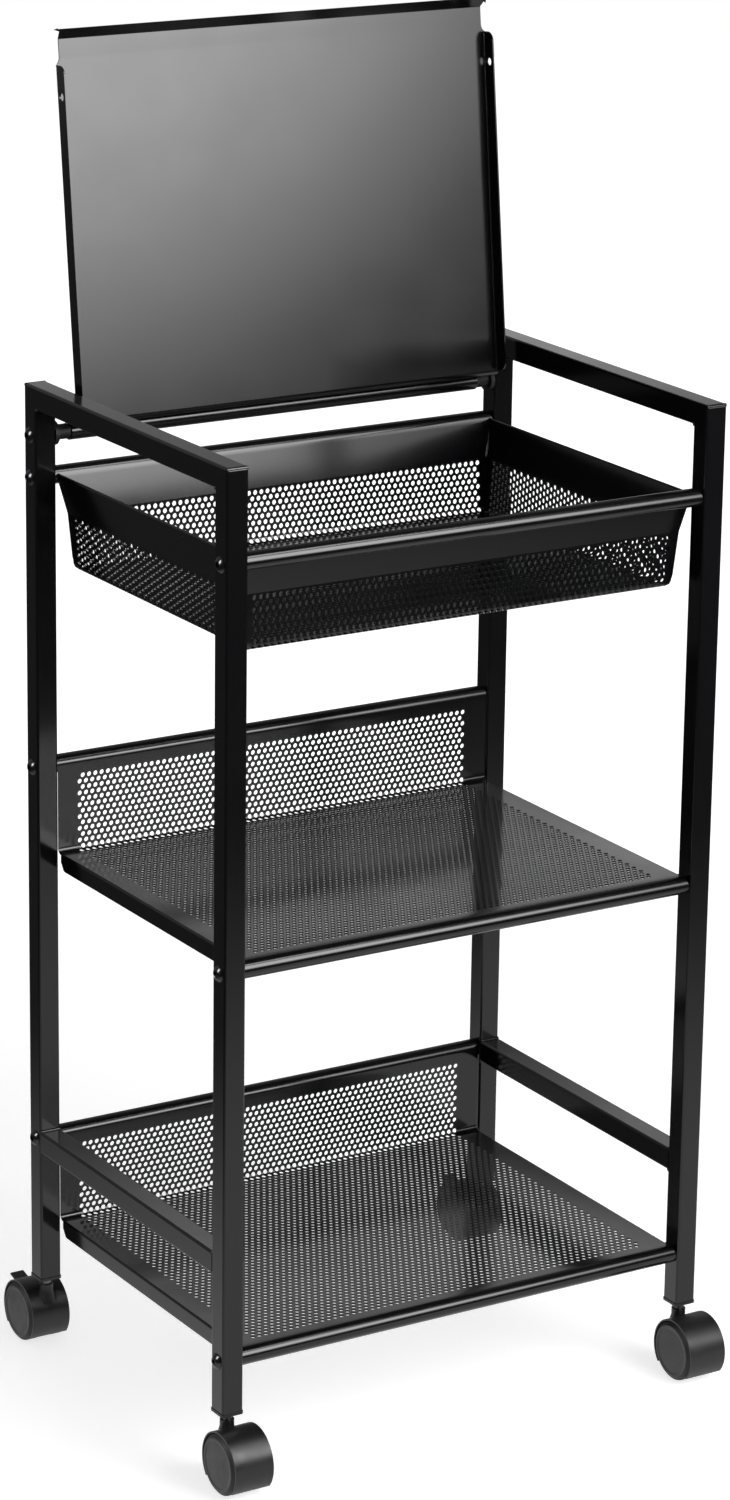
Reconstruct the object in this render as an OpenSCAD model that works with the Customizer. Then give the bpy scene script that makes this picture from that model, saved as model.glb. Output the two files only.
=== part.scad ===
// Rolling utility cart: a welded frame of square tube with two perforated
// shelves, a perforated basket under a hinged lid, and four swivel casters.
// X runs to the right, Y to the rear and Z up, from the floor under the
// middle of the frame. The lid stands open, leaning back from upright.

/* [Frame] */
// Width over the outer faces of the legs
frame_w = 388; // [350:1:460]
// Depth over the front and rear faces of the legs
frame_d = 278; // [262:1:320]
// Height of the top rails above the floor
frame_h = 709; // [700:1:780]
// Side of the square tube
tube = 16; // [15:0.5:18]
// Wall of the square tube
tube_wall = 1.2; // [1:0.1:1.5]
// Radius of the tube's outer corners
tube_r = 1.6; // [1:0.1:2]
// Radius of the ground weld at each top corner
weld_r = 2.4; // [1:0.1:2.6]
// Height of the top of the lower side rails above the floor
lower_rail_h = 167; // [160:1:240]

/* [Sheet metal] */
// Thickness of the sheet
sheet_t = 1; // [0.8:0.1:1.2]
// Outer radius of every rolled edge
roll_r = 6.4; // [6.2:0.1:7]
// Inner radius of the sheet's bends
bend_r = 3; // [2:0.5:4]
// Play between a sheet's side edge and the frame
side_play = 1; // [0.5:0.1:2]

/* [Shelves] */
// Height of the middle shelf's floor above the cart's floor
middle_h = 373.5; // [300:0.5:420]
// Height of the bottom shelf's floor above the cart's floor
bottom_h = 96.5; // [90:0.5:104]
// Height of the rear upstand over the shelf, to the top of its roll
upstand_h = 70; // [50:1:80]
// Depth of the side flanges under the shelf
shelf_flange = 12; // [8:0.5:14]
// Radius of the flanges' rear lower corners
shelf_corner_r = 6; // [2:0.5:8]

/* [Openings] */
// Openings across the cart in each field of openings
grid_columns = 12; // [6:1:12]
// Rows of openings in the shelves' upstands
upstand_rows = 2; // [1:1:3]
// Rows of openings in the basket's walls
wall_rows = 1; // [1:1:2]
// Share of a field that its openings take
grid_share = 0.47; // [0.2:0.01:0.5]
// Plain margin between a shelf's sides and its field
grid_margin = 14.5; // [10:0.5:20]
// Plain strip between a field and the sheet's bends, rolls and slots
grid_strip = 1.5; // [1:0.5:3]

/* [Basket] */
// Drop of the basket's screws under the top of the frame
basket_drop = 64.7; // [60:0.1:69]
// Rise of the side walls over the screws
basket_rim = 2.2; // [1:0.1:3]
// Depth of the basket under its side walls' top edges
basket_deep = 67; // [50:1:90]
// Height of the plain band at the top of the walls
band_h = 27.5; // [15:0.5:34]
// How far the band leans out on each side
side_flare = 6.2; // [3:0.1:8]
// How far the band leans out at the front and rear
end_flare = 4.8; // [2:0.1:7]
// How far each side wall leans out under the band
side_lean = 2.8; // [0:0.1:5]
// How far the front and rear walls lean out under the band
end_lean = 3.3; // [0:0.1:6]
// Outer radius of the bottom bends
basket_bend = 4.5; // [3:0.5:6]
// Height of the hem at the top of the side walls
hem_h = 7; // [4:0.5:9]

/* [Lid] */
// Rise of the hinge axis over the basket's screws
pivot_rise = 29.6; // [29.2:0.1:33]
// Gap between the lid's side and the frame
lid_gap = 7.5; // [6:0.1:9]
// Distance from the hinge axis to the panel's inner face
lid_offset = 25; // [24:0.1:26]
// Length of the panel from the hinge axis to the fold of its lip
lid_l = 266.5; // [266:0.5:268]
// How far the lip reaches past the fold
lip_out = 6; // [5:0.5:8]
// How far the lip drops from the panel
lip_drop = 6; // [4:0.5:7]
// How far each end of the lip spreads past the panel
lip_spread = 1.5; // [0:0.5:2.5]
// Radius of the lip's corners
lip_r = 3; // [1:0.5:4]
// Depth of the side flanges from the panel's inner face
lid_flange = 11; // [8:0.5:13]
// Distance from the hinge axis to the start of the flanges
flange_start = 9; // [8.5:0.5:20]
// Length of the notch between the flanges' ends and the lip's fold
lid_notch = 17.5; // [17:0.5:40]
// Depth of the notch in from the lid's side
notch_in = 3; // [2:0.5:5]
// Radius of the notch's inner corner
notch_r = 6; // [5:0.5:8]
// Radius of the flanges' corners
lid_corner_r = 7; // [3:0.5:9]
// Distance from the hinge axis to the hole in each flange
flange_hole_at = 228; // [100:1:236]
// Diameter of the hole in each flange
flange_hole_d = 5.5; // [3:0.1:7]
// Angle that the open lid leans back from upright
lid_lean = 6.5; // [0:0.5:10]

/* [Hardware] */
// Diameter of the screws' shanks
screw_d = 6; // [5:0.1:7]
// Diameter of the screws' button heads
head_d = 11.5; // [10:0.1:13]
// Height of the screws' button heads
head_h = 3.3; // [2.5:0.1:4]
// Width across the corners of the hexagon socket
socket_d = 4.6; // [3:0.1:5]
// Depth of the hexagon socket
socket_deep = 2; // [1:0.1:2.2]
// Length of the inserts in the roll ends
insert_l = 15; // [10:1:20]
// Diameter of the hinge bushing's flange
bushing_flange_d = 17; // [14:0.5:20]
// Thickness of the hinge bushing's flange
bushing_flange_t = 3; // [2:0.5:4]
// Diameter of the hinge bushing's neck
bushing_neck_d = 10.6; // [9:0.1:12]
// Length of the hinge bushing
bushing_l = 13; // [9:0.5:15]

/* [Casters] */
// Height of the tube plugs' undersides above the floor
caster_h = 51.5; // [50:0.5:56]
// Wheel diameter
wheel_d = 43; // [40:0.5:44]
// Width of each wheel's tread
tread_w = 9.6; // [8:0.1:11]
// How far each wheel's outer disc stands out past its tread
disc_out = 1.3; // [0.5:0.1:2]
// Diameter of each wheel's outer disc
disc_d = 38; // [30:0.5:39]
// Distance that the axle trails behind the stem
trail = 15; // [13.5:0.5:17]
// Width of the hood's web between the wheels
web_w = 9.4; // [9.2:0.1:11]
// Thickness of the hood's shell
hood_t = 1.2; // [0.9:0.1:1.6]
// Gap between a tread and the hood
tread_gap = 0.5; // [0.4:0.1:0.8]
// Gap between a wheel and the web
web_gap = 0.4; // [0.3:0.1:0.6]
// Angle that the hood reaches below the axle, front and rear
hood_reach = 40; // [20:5:50]
// Diameter of the stem
stem_d = 7; // [6:0.1:7.2]
// Gap between the stem's end and the bottom shelf's screw in the leg
stem_clear = 3.6; // [2:0.1:6]
// Length of bare stem between the plug and the hood
stem_bare = 5; // [3:0.5:7]
// Diameter of the axle
axle_d = 5; // [4:0.1:6]
// Width of the brake lever's tab
brake_tab_w = 10.5; // [8:0.5:12]
// Length of the brake lever's tab past the hood
brake_tab_l = 12; // [8:0.5:14]
// Thickness of the brake lever
brake_t = 1.5; // [1.2:0.1:2]
// Diameter of the brake lever's pin
brake_pin_d = 2.5; // [2:0.1:3]

/* [Fits] */
// Play on the radius where a piece turns on a pin
run_fit = 0.05; // [0.02:0.01:0.1]
// Play on the radius of the screws' holes in the legs
screw_play = 0.2; // [0.05:0.05:0.5]
// Gap between pieces that move past each other
pass_gap = 0.5; // [0.4:0.1:0.8]

/* [Hidden] */
$fn = 64;
// Overshoot of a cutter past the face that it cuts
over = 1;
// Steps in each bend that is drawn as a polygon
bend_steps = 6;

leg_x = frame_w / 2 - tube / 2;
leg_y = frame_d / 2 - tube / 2;
// Inner faces of the legs, across the cart and along it
inner_x = frame_w / 2 - tube;
inner_y = frame_d / 2 - tube;
tube_inner = tube - 2 * tube_wall;

sheet_x = inner_x - side_play;
roll_in = roll_r - sheet_t;
screw_bore = screw_d / 2 + run_fit;

// Half width of the shelves' fields of openings, and the side of their cells
grid_x = sheet_x - grid_margin;
grid_cell = 2 * grid_x / grid_columns;

// How far the screws end short of their inserts' inner ends
screw_short = 1;

plug_rim = 2;
plug_proud = 0.5;
// How far the plug ends short of the stem's end
plug_short = 2;
plug_rib_t = 1.2;
plug_ribs = 4;
plug_rib_deep = 0.8;
leg_bottom = caster_h + plug_rim;
stem_up = bottom_h - roll_r - screw_d / 2 - stem_clear - caster_h;
plug_l = stem_up - plug_short;

basket_axis_h = frame_h - basket_drop;
basket_top = basket_axis_h + basket_rim;
basket_bottom = basket_top - basket_deep;
// Outer faces of the basket's walls
basket_mid = basket_top - band_h;
basket_top_x = sheet_x;
basket_mid_x = basket_top_x - side_flare;
basket_low_x = basket_mid_x - side_lean;
basket_mid_y = leg_y - roll_in - end_flare;
basket_low_y = basket_mid_y - end_lean;
basket_top_y = basket_mid_y + end_flare * band_h / (band_h - basket_rim);

pivot_h = basket_axis_h + pivot_rise;
lid_x = inner_x - lid_gap;
lid_roll_x = inner_x - bushing_l - pass_gap;
flange_end = lid_l - lid_notch;
lid_screw_l = tube + bushing_l + pass_gap + insert_l - screw_short;
sheet_screw_l = tube + insert_l - screw_short;

wheel_r = wheel_d / 2;
wheel_in = web_w / 2 + web_gap;
tread_out = wheel_in + tread_w;
disc_x = tread_out + disc_out;
tread_round = 1.4;
rim_t = 3;
hub_r = 5.5;
disc_t = 2;
// Thickness of the disc over the end of the axle
axle_cap = 3;
axle_half = disc_x - axle_cap - pass_gap;
hood_in = wheel_r + tread_gap;
hood_r = hood_in + hood_t;
hood_x = tread_out;
collar_d = stem_d + 3;
collar_top = caster_h - stem_bare;
boss_low_d = collar_d + 5;
boss_top_drop = 5;
boss_h = 9;
// Foot of the stem's bore in the hood, and the gap under the stem there
stem_bore_low = 27;
stem_gap = 0.5;
stem_tip = 1;
web_below = 12;
// The brake lever's pin, from the axle: distance and angle above level
brake_pin_at = 17.5;
brake_pin_angle = 46;
brake_shoe_gap = 1.2;
brake_shoe_x = 8.5;
brake_shoe_low = 13;
brake_shoe_high = 42;
brake_hub_r = 2.6;
brake_hub_w = 5.6;
brake_slot = 0.3;
// Angle that the hood's window leaves free past the shoe and the pin
brake_window = 7;
brake_arm_low = 29;
brake_arm_high = 44;
brake_arm_in = brake_pin_at - brake_hub_r / 2;
brake_tab_angle = 33;
brake_tab_rise = 14;

frame_colour = "#2a2a2c";
lid_colour = "#4a4a4d";
sheet_colour = "#333336";
screw_colour = "#0c0c0e";
zinc_colour = "#b9bbbd";
nylon_colour = "#1a1a1b";
disc_colour = "#484849";

// Extrudes a shape drawn in (Y, Z) along X, about the middle
module along_x(length) {
    rotate([90, 0, 90])
        linear_extrude(length, center = true)
            children();
}

// Extrudes a shape drawn in (X, Z) along Y, about the middle
module along_y(length) {
    rotate([90, 0, 0])
        linear_extrude(length, center = true)
            children();
}

// The children, and their mirror image across the cart
module both_sides() {
    children();
    mirror([1, 0, 0])
        children();
}

// The children, and their mirror image along the cart
module both_ends() {
    children();
    mirror([0, 1, 0])
        children();
}

// Square of a given side with round corners, about the middle
module round_square(side, r) {
    square([side, side - 2 * r], center = true);
    square([side - 2 * r, side], center = true);
    for (x = [-1, 1], y = [-1, 1])
        translate([x, y] * (side / 2 - r))
            circle(r);
}

// Section of the square tube
module tube_section() {
    difference() {
        round_square(tube, tube_r);
        square(tube_inner, center = true);
    }
}

// Everything over the mitre between a front leg and its top rail, in (Y, Z)
module over_mitre() {
    reach = tube + over;
    translate([-frame_d / 2, frame_h])
        polygon([[-over, over], [reach, -reach], [reach, over]]);
}

// Everything under that mitre, in (Y, Z)
module under_mitre() {
    reach = tube + over;
    translate([-frame_d / 2, frame_h])
        polygon([[-over, over], [reach, -reach], [-over, -reach]]);
}

// What grinding takes off the front top corner, in (Y, Z)
module weld_round() {
    translate([-frame_d / 2 + weld_r, frame_h - weld_r])
        difference() {
            translate([-weld_r - over, 0])
                square(weld_r + over);
            circle(weld_r);
        }
}

// Heights of the screws in a front or a rear leg
function screw_heights(rear) = rear
    ? [pivot_h, basket_axis_h, middle_h + upstand_h - roll_r, bottom_h + upstand_h - roll_r]
    : [basket_axis_h, middle_h - roll_r, bottom_h - roll_r];

// A front leg, or a rear one: tube cut to the mitre, with its screw holes
module leg(side, rear) {
    color(frame_colour)
        mirror([0, rear ? 1 : 0, 0])
            translate([side * leg_x, 0, 0])
                difference() {
                    translate([0, -leg_y, leg_bottom])
                        linear_extrude(frame_h - leg_bottom)
                            tube_section();
                    along_x(tube + 2 * over) {
                        over_mitre();
                        weld_round();
                    }
                    for (h = screw_heights(rear))
                        translate([0, -leg_y, h])
                            rotate([0, 90, 0])
                                cylinder(h = tube + 2 * over, r = screw_d / 2 + screw_play, center = true);
                }
}

// A top rail, mitred at both ends
module top_rail(side) {
    color(frame_colour)
        translate([side * leg_x, 0, 0])
            difference() {
                translate([0, 0, frame_h - tube / 2])
                    along_y(frame_d)
                        tube_section();
                both_ends()
                    along_x(tube + 2 * over) {
                        under_mitre();
                        weld_round();
                    }
            }
}

// A lower side rail, butted between the legs
module lower_rail(side) {
    color(frame_colour)
        translate([side * leg_x, 0, lower_rail_h - tube / 2])
            along_y(2 * inner_y)
                tube_section();
}

// The ribbed plug in a leg's foot, bored for the caster's stem
module plug(side, end) {
    color(nylon_colour)
        translate([side * leg_x, end * leg_y, caster_h])
            difference() {
                union() {
                    linear_extrude(plug_rim)
                        round_square(tube + 2 * plug_proud, tube_r + plug_proud);
                    linear_extrude(plug_l)
                        square(tube_inner - 2 * plug_rib_deep, center = true);
                    for (i = [1 : plug_ribs])
                        translate([0, 0, i * plug_l / plug_ribs - plug_rib_t])
                            linear_extrude(plug_rib_t)
                                square(tube_inner, center = true);
                }
                translate([0, 0, -over])
                    cylinder(h = stem_up + 2 * over, r = stem_d / 2 + run_fit);
            }
}

// Openings in equal cells that fill a field about the middle, in (X, Y)
module opening_grid(long, high, rows) {
    columns = round(long / grid_cell);
    cell = [long / columns, high / rows];
    for (i = [1 : columns], j = [1 : rows])
        translate([(i - 0.5) * cell.x - long / 2, (j - 0.5) * cell.y - high / 2])
            square(sqrt(grid_share) * cell, center = true);
}

// A rolled edge about the origin: the sheet arrives along +X at the top
module roll_section() {
    gap_from = 38;
    gap_to = 62;
    far = 2 * roll_r;
    difference() {
        circle(roll_r);
        circle(roll_in);
        polygon([[0, 0], far * [cos(gap_from), sin(gap_from)], far * [cos(gap_to), sin(gap_to)]]);
    }
}

// A shelf in one piece: front roll, floor, upstand with its roll, side flanges
module shelf(floor_h) {
    front = [-leg_y, floor_h - roll_r];
    rear = [leg_y, floor_h + upstand_h - roll_r];
    // Front face of the upstand, tangent to its roll
    upstand_y = leg_y - roll_r;
    bend_out = bend_r + sheet_t;
    color(sheet_colour)
        difference() {
            union() {
                along_x(2 * inner_x) {
                    translate(front)
                        roll_section();
                    translate(rear)
                        rotate(-90)
                            mirror([0, 1])
                                roll_section();
                }
                along_x(2 * sheet_x) {
                    translate([front.x, floor_h - sheet_t])
                        square([upstand_y - bend_r - front.x, sheet_t]);
                    translate([upstand_y - bend_r, floor_h + bend_r])
                        difference() {
                            circle(bend_out);
                            circle(bend_r);
                            translate([-bend_out - over, -bend_out - over])
                                square([bend_out + over, 2 * (bend_out + over)]);
                            translate([-over, 0])
                                square(bend_out + 2 * over);
                        }
                    translate([upstand_y, floor_h + bend_r])
                        square([sheet_t, rear.y - floor_h - bend_r]);
                }
                both_sides()
                    translate([sheet_x - sheet_t / 2, 0, 0])
                        along_x(sheet_t)
                            shelf_flange_shape(floor_h);
            }
            shelf_openings(floor_h);
        }
}

// What the fields of openings take out of a shelf's floor and upstand
module shelf_openings(floor_h) {
    upstand_y = leg_y - roll_r;
    front = -upstand_y + grid_strip;
    back = upstand_y - bend_r - grid_strip;
    low = floor_h + bend_r + grid_strip;
    high = floor_h + upstand_h - 2 * roll_r - grid_strip;
    translate([0, (front + back) / 2, floor_h - sheet_t / 2])
        linear_extrude(sheet_t + 2 * over, center = true)
            opening_grid(2 * grid_x, back - front, round((back - front) / grid_cell));
    translate([0, upstand_y + sheet_t / 2, (low + high) / 2])
        along_y(sheet_t + 2 * over)
            opening_grid(2 * grid_x, high - low, upstand_rows);
}

// Side flange of a shelf in (Y, Z): square in front, round at the rear
module shelf_flange_shape(floor_h) {
    front_y = -leg_y + roll_r;
    rear_y = leg_y - roll_r - bend_r;
    translate([front_y, floor_h - shelf_flange])
        difference() {
            square([rear_y - front_y, shelf_flange]);
            translate([rear_y - front_y - shelf_corner_r, shelf_corner_r])
                difference() {
                    translate([0, -shelf_corner_r - over])
                        square(shelf_corner_r + over);
                    circle(shelf_corner_r);
                }
        }
}

// Lean of a wall from upright, that moves in by run over a drop
function lean(run, drop) = atan(run / drop);

// Points round the bottom corner of a tub, where a leaning wall meets its floor
function corner(wall_x, floor_z, angle, r) =
    let (centre = [wall_x + r * tan(angle) - r / cos(angle), floor_z + r])
    [for (i = [0 : bend_steps])
        let (a = -90 + i * (90 - angle) / bend_steps)
        centre + r * [cos(a), sin(a)]];

// A list of points, followed by its mirror image in reverse order
function mirrored(points) = concat(
    points,
    [for (i = [len(points) - 1 : -1 : 0]) [-points[i].x, points[i].y]]
);

// Two facing walls and the floor of the basket, seen along them, inset by a
// sheet or none. The walls' outer faces pass through three half widths. The
// inside has a hem of one more sheet at its top, if it has a hem's height.
module basket_section(top, mid, low, inset, hem) {
    angle = lean(mid - low, basket_mid - basket_bottom);
    band = lean(top - mid, band_h);
    side = inset / cos(angle);
    band_side = inset / cos(band);
    floor_z = basket_bottom + inset;
    floor_half = low + inset * tan(angle) - side;
    hem_z = basket_top - hem;
    hem_half = top - hem * tan(band) - band_side;
    top_half = top + over * tan(band) - band_side;
    upper = inset == 0
        ? [[top, basket_top]]
        : hem == 0
            ? [[top_half, basket_top + over]]
            : [
                [hem_half, hem_z],
                [hem_half - band_side, hem_z],
                [top_half - band_side, basket_top + over]
            ];
    polygon(mirrored(concat(
        corner(floor_half, floor_z, angle, basket_bend - inset),
        [[mid - side, basket_mid]],
        upper
    )));
}

// Everything inside the basket's outer faces, or inside its inner faces
module basket_block(inset) {
    long = 2 * frame_w;
    intersection() {
        along_x(long)
            basket_section(basket_top_y, basket_mid_y, basket_low_y, inset, 0);
        along_y(long)
            basket_section(basket_top_x, basket_mid_x, basket_low_x, inset, hem_h);
    }
}

// The basket: a tub of flat walls with rolled front and rear edges
module basket() {
    color(sheet_colour) {
        difference() {
            basket_block(0);
            basket_block(sheet_t);
            both_ends()
                translate([-basket_mid_x, -leg_y - roll_r, basket_axis_h])
                    cube([2 * basket_mid_x, 2 * roll_r, roll_r]);
            both_ends()
                along_x(2 * inner_x)
                    translate([-leg_y, basket_axis_h])
                        circle(roll_in);
            basket_openings();
        }
        both_ends()
            along_x(2 * inner_x)
                translate([-leg_y, basket_axis_h])
                    rotate(-90)
                        roll_section();
    }
}

// What the fields of openings take out of the basket's floor and walls
module basket_openings() {
    half_x = basket_low_x - basket_bend - grid_strip;
    half_y = basket_low_y - basket_bend - grid_strip;
    low = basket_bottom + basket_bend + grid_strip;
    high = basket_mid - grid_strip;
    translate([0, 0, basket_bottom + sheet_t / 2])
        linear_extrude(sheet_t + 2 * over, center = true)
            opening_grid(2 * half_x, 2 * half_y, round(2 * half_y / grid_cell));
    translate([0, 0, (low + high) / 2]) {
        along_y(2 * (basket_mid_y + over))
            opening_grid(2 * half_x, high - low, wall_rows);
        along_x(2 * (basket_mid_x + over))
            opening_grid(2 * half_y, high - low, wall_rows);
    }
}

// Round a hinge or screw axis on the right side: a turned piece along X
module on_axis(x, y, z) {
    translate([x, y, z])
        rotate([0, 90, 0])
            children();
}

// Threaded insert in a roll's right end
module insert(y, z) {
    on_axis(inner_x - insert_l, y, z)
        difference() {
            cylinder(h = insert_l, r = roll_in);
            translate([0, 0, -over])
                cylinder(h = insert_l + 2 * over, r = screw_bore);
        }
}

// Button head screw through the right leg
module screw(y, z, length) {
    ball_r = (pow(head_d / 2, 2) + pow(head_h, 2)) / (2 * head_h);
    on_axis(frame_w / 2, y, z) {
        difference() {
            intersection() {
                translate([0, 0, head_h - ball_r])
                    sphere(ball_r);
                cylinder(h = head_h + over, d = head_d);
            }
            translate([0, 0, head_h - socket_deep])
                cylinder(h = socket_deep + over, d = socket_d, $fn = 6);
        }
        translate([0, 0, -length])
            cylinder(h = length + (head_h - socket_deep) / 2, d = screw_d);
    }
}

// The four inserts of a sheet piece, at its front and rear screw heights
module inserts(front_z, rear_z) {
    color(zinc_colour)
        both_sides() {
            insert(-leg_y, front_z);
            insert(leg_y, rear_z);
        }
}

// The four screws of a sheet piece
module screws(front_z, rear_z) {
    color(screw_colour)
        both_sides() {
            screw(-leg_y, front_z, sheet_screw_l);
            screw(leg_y, rear_z, sheet_screw_l);
        }
}

// Places the lid's own frame: the hinge axis along X, the panel upright
module on_lid() {
    translate([0, leg_y, pivot_h])
        rotate([-lid_lean, 0, 0])
            children();
}

// Panel, rear wall and lip of the lid in (Y, Z), from its hinge axis
module lid_wall() {
    bend_out = bend_r + sheet_t;
    face = -lid_offset;
    translate([face + bend_out, roll_in])
        square([lid_offset - bend_out, sheet_t]);
    translate([face + bend_out, roll_in + bend_out])
        difference() {
            circle(bend_out);
            circle(bend_r);
            translate([0, -bend_out - over])
                square([bend_out + over, 2 * (bend_out + over)]);
            translate([-bend_out - over, 0])
                square([bend_out + 2 * over, bend_out + over]);
        }
    translate([face, roll_in + bend_out])
        square([sheet_t, lid_l - roll_in - bend_out]);
}

// The lip folded over at the lid's free end
module lid_lip() {
    length = norm([lip_out, lip_drop]);
    half = lid_x - notch_in;
    tip = half + lip_spread;
    turn = atan(lip_drop / lip_out);
    translate([0, -lid_offset, lid_l]) {
        along_x(2 * half)
            intersection() {
                circle(sheet_t);
                polygon([[0, 0], [2 * sheet_t, 0], 2 * sheet_t * [cos(turn), sin(turn)]]);
            }
        rotate([90 + turn, 0, 0])
            translate([0, 0, -sheet_t])
                linear_extrude(sheet_t) {
                    polygon(mirrored([
                        [half, 0],
                        [tip, length - lip_r],
                        [tip - lip_r, length]
                    ]));
                    for (x = [-1, 1])
                        translate([x * (tip - lip_r), length - lip_r])
                            circle(lip_r);
                }
    }
}

// Side flange of the lid in (Y, Z), with its hole
module lid_flange_shape() {
    long = flange_end - flange_start;
    deep = lid_flange + sheet_t;
    translate([-lid_offset - lid_flange, flange_start])
        difference() {
            square([deep, long]);
            for (top = [0, 1])
                translate([lid_corner_r, top ? long - lid_corner_r : lid_corner_r])
                    difference() {
                        translate([-lid_corner_r - over, top ? 0 : -lid_corner_r - over])
                            square(lid_corner_r + over);
                        circle(lid_corner_r);
                    }
            translate([lid_flange / 2, flange_hole_at - flange_start])
                circle(d = flange_hole_d);
        }
}

// The lid: hinge roll, rear wall, panel, side flanges and lip
module lid() {
    color(lid_colour)
        on_lid()
            difference() {
                union() {
                    along_x(2 * lid_roll_x)
                        mirror([1, 0])
                            roll_section();
                    along_x(2 * lid_x)
                        lid_wall();
                    both_sides()
                        translate([lid_x - sheet_t / 2, 0, 0])
                            along_x(sheet_t)
                                lid_flange_shape();
                }
                both_sides()
                    lid_notch_cut();
                both_sides()
                    translate([lid_roll_x, -roll_r, 0])
                        cube([bushing_l, 2 * roll_r, 2 * roll_r]);
            }
    color(lid_colour)
        on_lid()
            lid_lip();
}

// What the right notch takes out of the panel, past the flange's end
module lid_notch_cut() {
    start = flange_end + sqrt(pow(notch_r, 2) - pow(notch_r - notch_in, 2));
    translate([lid_x - notch_in, -lid_offset - over, start]) {
        cube([notch_in + over, sheet_t + 2 * over, lid_l - start + over]);
        translate([notch_r, 0, 0])
            rotate([-90, 0, 0])
                cylinder(h = sheet_t + 2 * over, r = notch_r);
    }
}

// Plain sleeves pressed into the ends of the lid's hinge roll
module lid_sleeves() {
    color(zinc_colour)
        on_lid()
            both_sides()
                on_axis(lid_roll_x - insert_l, 0, 0)
                    difference() {
                        cylinder(h = insert_l, r = roll_in);
                        translate([0, 0, -over])
                            cylinder(h = insert_l + 2 * over, r = screw_bore);
                    }
}

// Flanged bushings between the legs and the lid's hinge roll
module lid_bushings() {
    color(nylon_colour)
        both_sides()
            on_axis(inner_x - bushing_l, leg_y, pivot_h)
                difference() {
                    union() {
                        cylinder(h = bushing_l, d = bushing_neck_d);
                        translate([0, 0, bushing_l - bushing_flange_t])
                            cylinder(h = bushing_flange_t, d = bushing_flange_d);
                    }
                    translate([0, 0, -over])
                        cylinder(h = bushing_l + 2 * over, r = screw_bore);
                }
}

// The lid's two hinge screws, whose plain shanks are its pins
module lid_screws() {
    color(screw_colour)
        both_sides()
            screw(leg_y, pivot_h, lid_screw_l);
}

// Places a caster's own frame: stem axis upright, axle trailing outwards
module on_caster(side, end) {
    translate([side * leg_x, end * leg_y, 0])
        rotate([0, 0, end > 0 ? 0 : 180])
            children();
}

// Places a wheel's own frame inside a caster's: its axle along X
module on_axle() {
    translate([0, trail, wheel_r])
        children();
}

// Stem of a caster, standing in the leg's plug
module stem(side, end) {
    low = stem_bore_low + stem_gap;
    long = caster_h + stem_up - low;
    color(zinc_colour)
        on_caster(side, end)
            translate([0, 0, low]) {
                cylinder(h = stem_tip, d1 = stem_d - 2 * stem_tip, d2 = stem_d);
                translate([0, 0, stem_tip])
                    cylinder(h = long - 2 * stem_tip, d = stem_d);
                translate([0, 0, long - stem_tip])
                    cylinder(h = stem_tip, d1 = stem_d, d2 = stem_d - 2 * stem_tip);
            }
}

// Sector of a large disc between two angles, in (Y, Z) from the axle
module sector(from, to) {
    steps = 6;
    far = 3 * hood_r;
    polygon(concat(
        [[0, 0]],
        [for (i = [0 : steps])
            let (a = from + i * (to - from) / steps)
            far * [cos(a), sin(a)]]
    ));
}

// The hood's body: a shell over both wheels, the web and the stem's collar
module hood_body() {
    on_axle() {
        along_x(2 * hood_x)
            difference() {
                circle(hood_r);
                circle(hood_in);
                sector(180 + hood_reach, 360 - hood_reach);
            }
        along_x(web_w)
            difference() {
                circle(hood_in + hood_t / 2);
                translate([-2 * hood_r, -hood_r - web_below])
                    square([4 * hood_r, hood_r]);
            }
    }
    boss_top = collar_top - boss_top_drop;
    difference() {
        rotate_extrude()
            polygon([
                [0, boss_top - boss_h],
                [boss_low_d / 2, boss_top - boss_h],
                [collar_d / 2, boss_top],
                [collar_d / 2, collar_top],
                [0, collar_top]
            ]);
        on_axle()
            along_x(2 * hood_r)
                circle(hood_in + hood_t / 2);
    }
}

// A place on the brake side of the hood, from the axle, in (Y, Z)
function at(r, angle) = r * [cos(angle), sin(angle)];

// Hood of a caster, bored for its stem and axle, and for a brake if it has one
module hood(side, end, brake) {
    color(nylon_colour)
        on_caster(side, end)
            difference() {
                hood_body();
                translate([0, 0, stem_bore_low])
                    cylinder(h = collar_top, r = stem_d / 2 + run_fit);
                on_axle()
                    rotate([0, 90, 0])
                        cylinder(h = web_w + 2 * over, d = axle_d, center = true);
                if (brake)
                    on_axle()
                        brake_cuts();
            }
}

// What the brake lever's window, slot and pin take out of the hood
module brake_cuts() {
    pin = at(brake_pin_at, brake_pin_angle);
    slot_r = brake_hub_r + brake_slot + pass_gap;
    low = brake_shoe_low - brake_window;
    high = brake_pin_angle + brake_window;
    along_x(2 * (brake_shoe_x + pass_gap))
        difference() {
            sector(low, high);
            circle(wheel_r - pass_gap);
        }
    along_x(brake_hub_w + 2 * brake_slot) {
        translate(pin)
            circle(slot_r);
        difference() {
            sector(low, high);
            circle(brake_arm_in - 2 * pass_gap);
        }
    }
    translate([0, pin.x, pin.y])
        rotate([0, 90, 0])
            cylinder(h = web_w + 2 * over, d = brake_pin_d, center = true);
}

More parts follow.
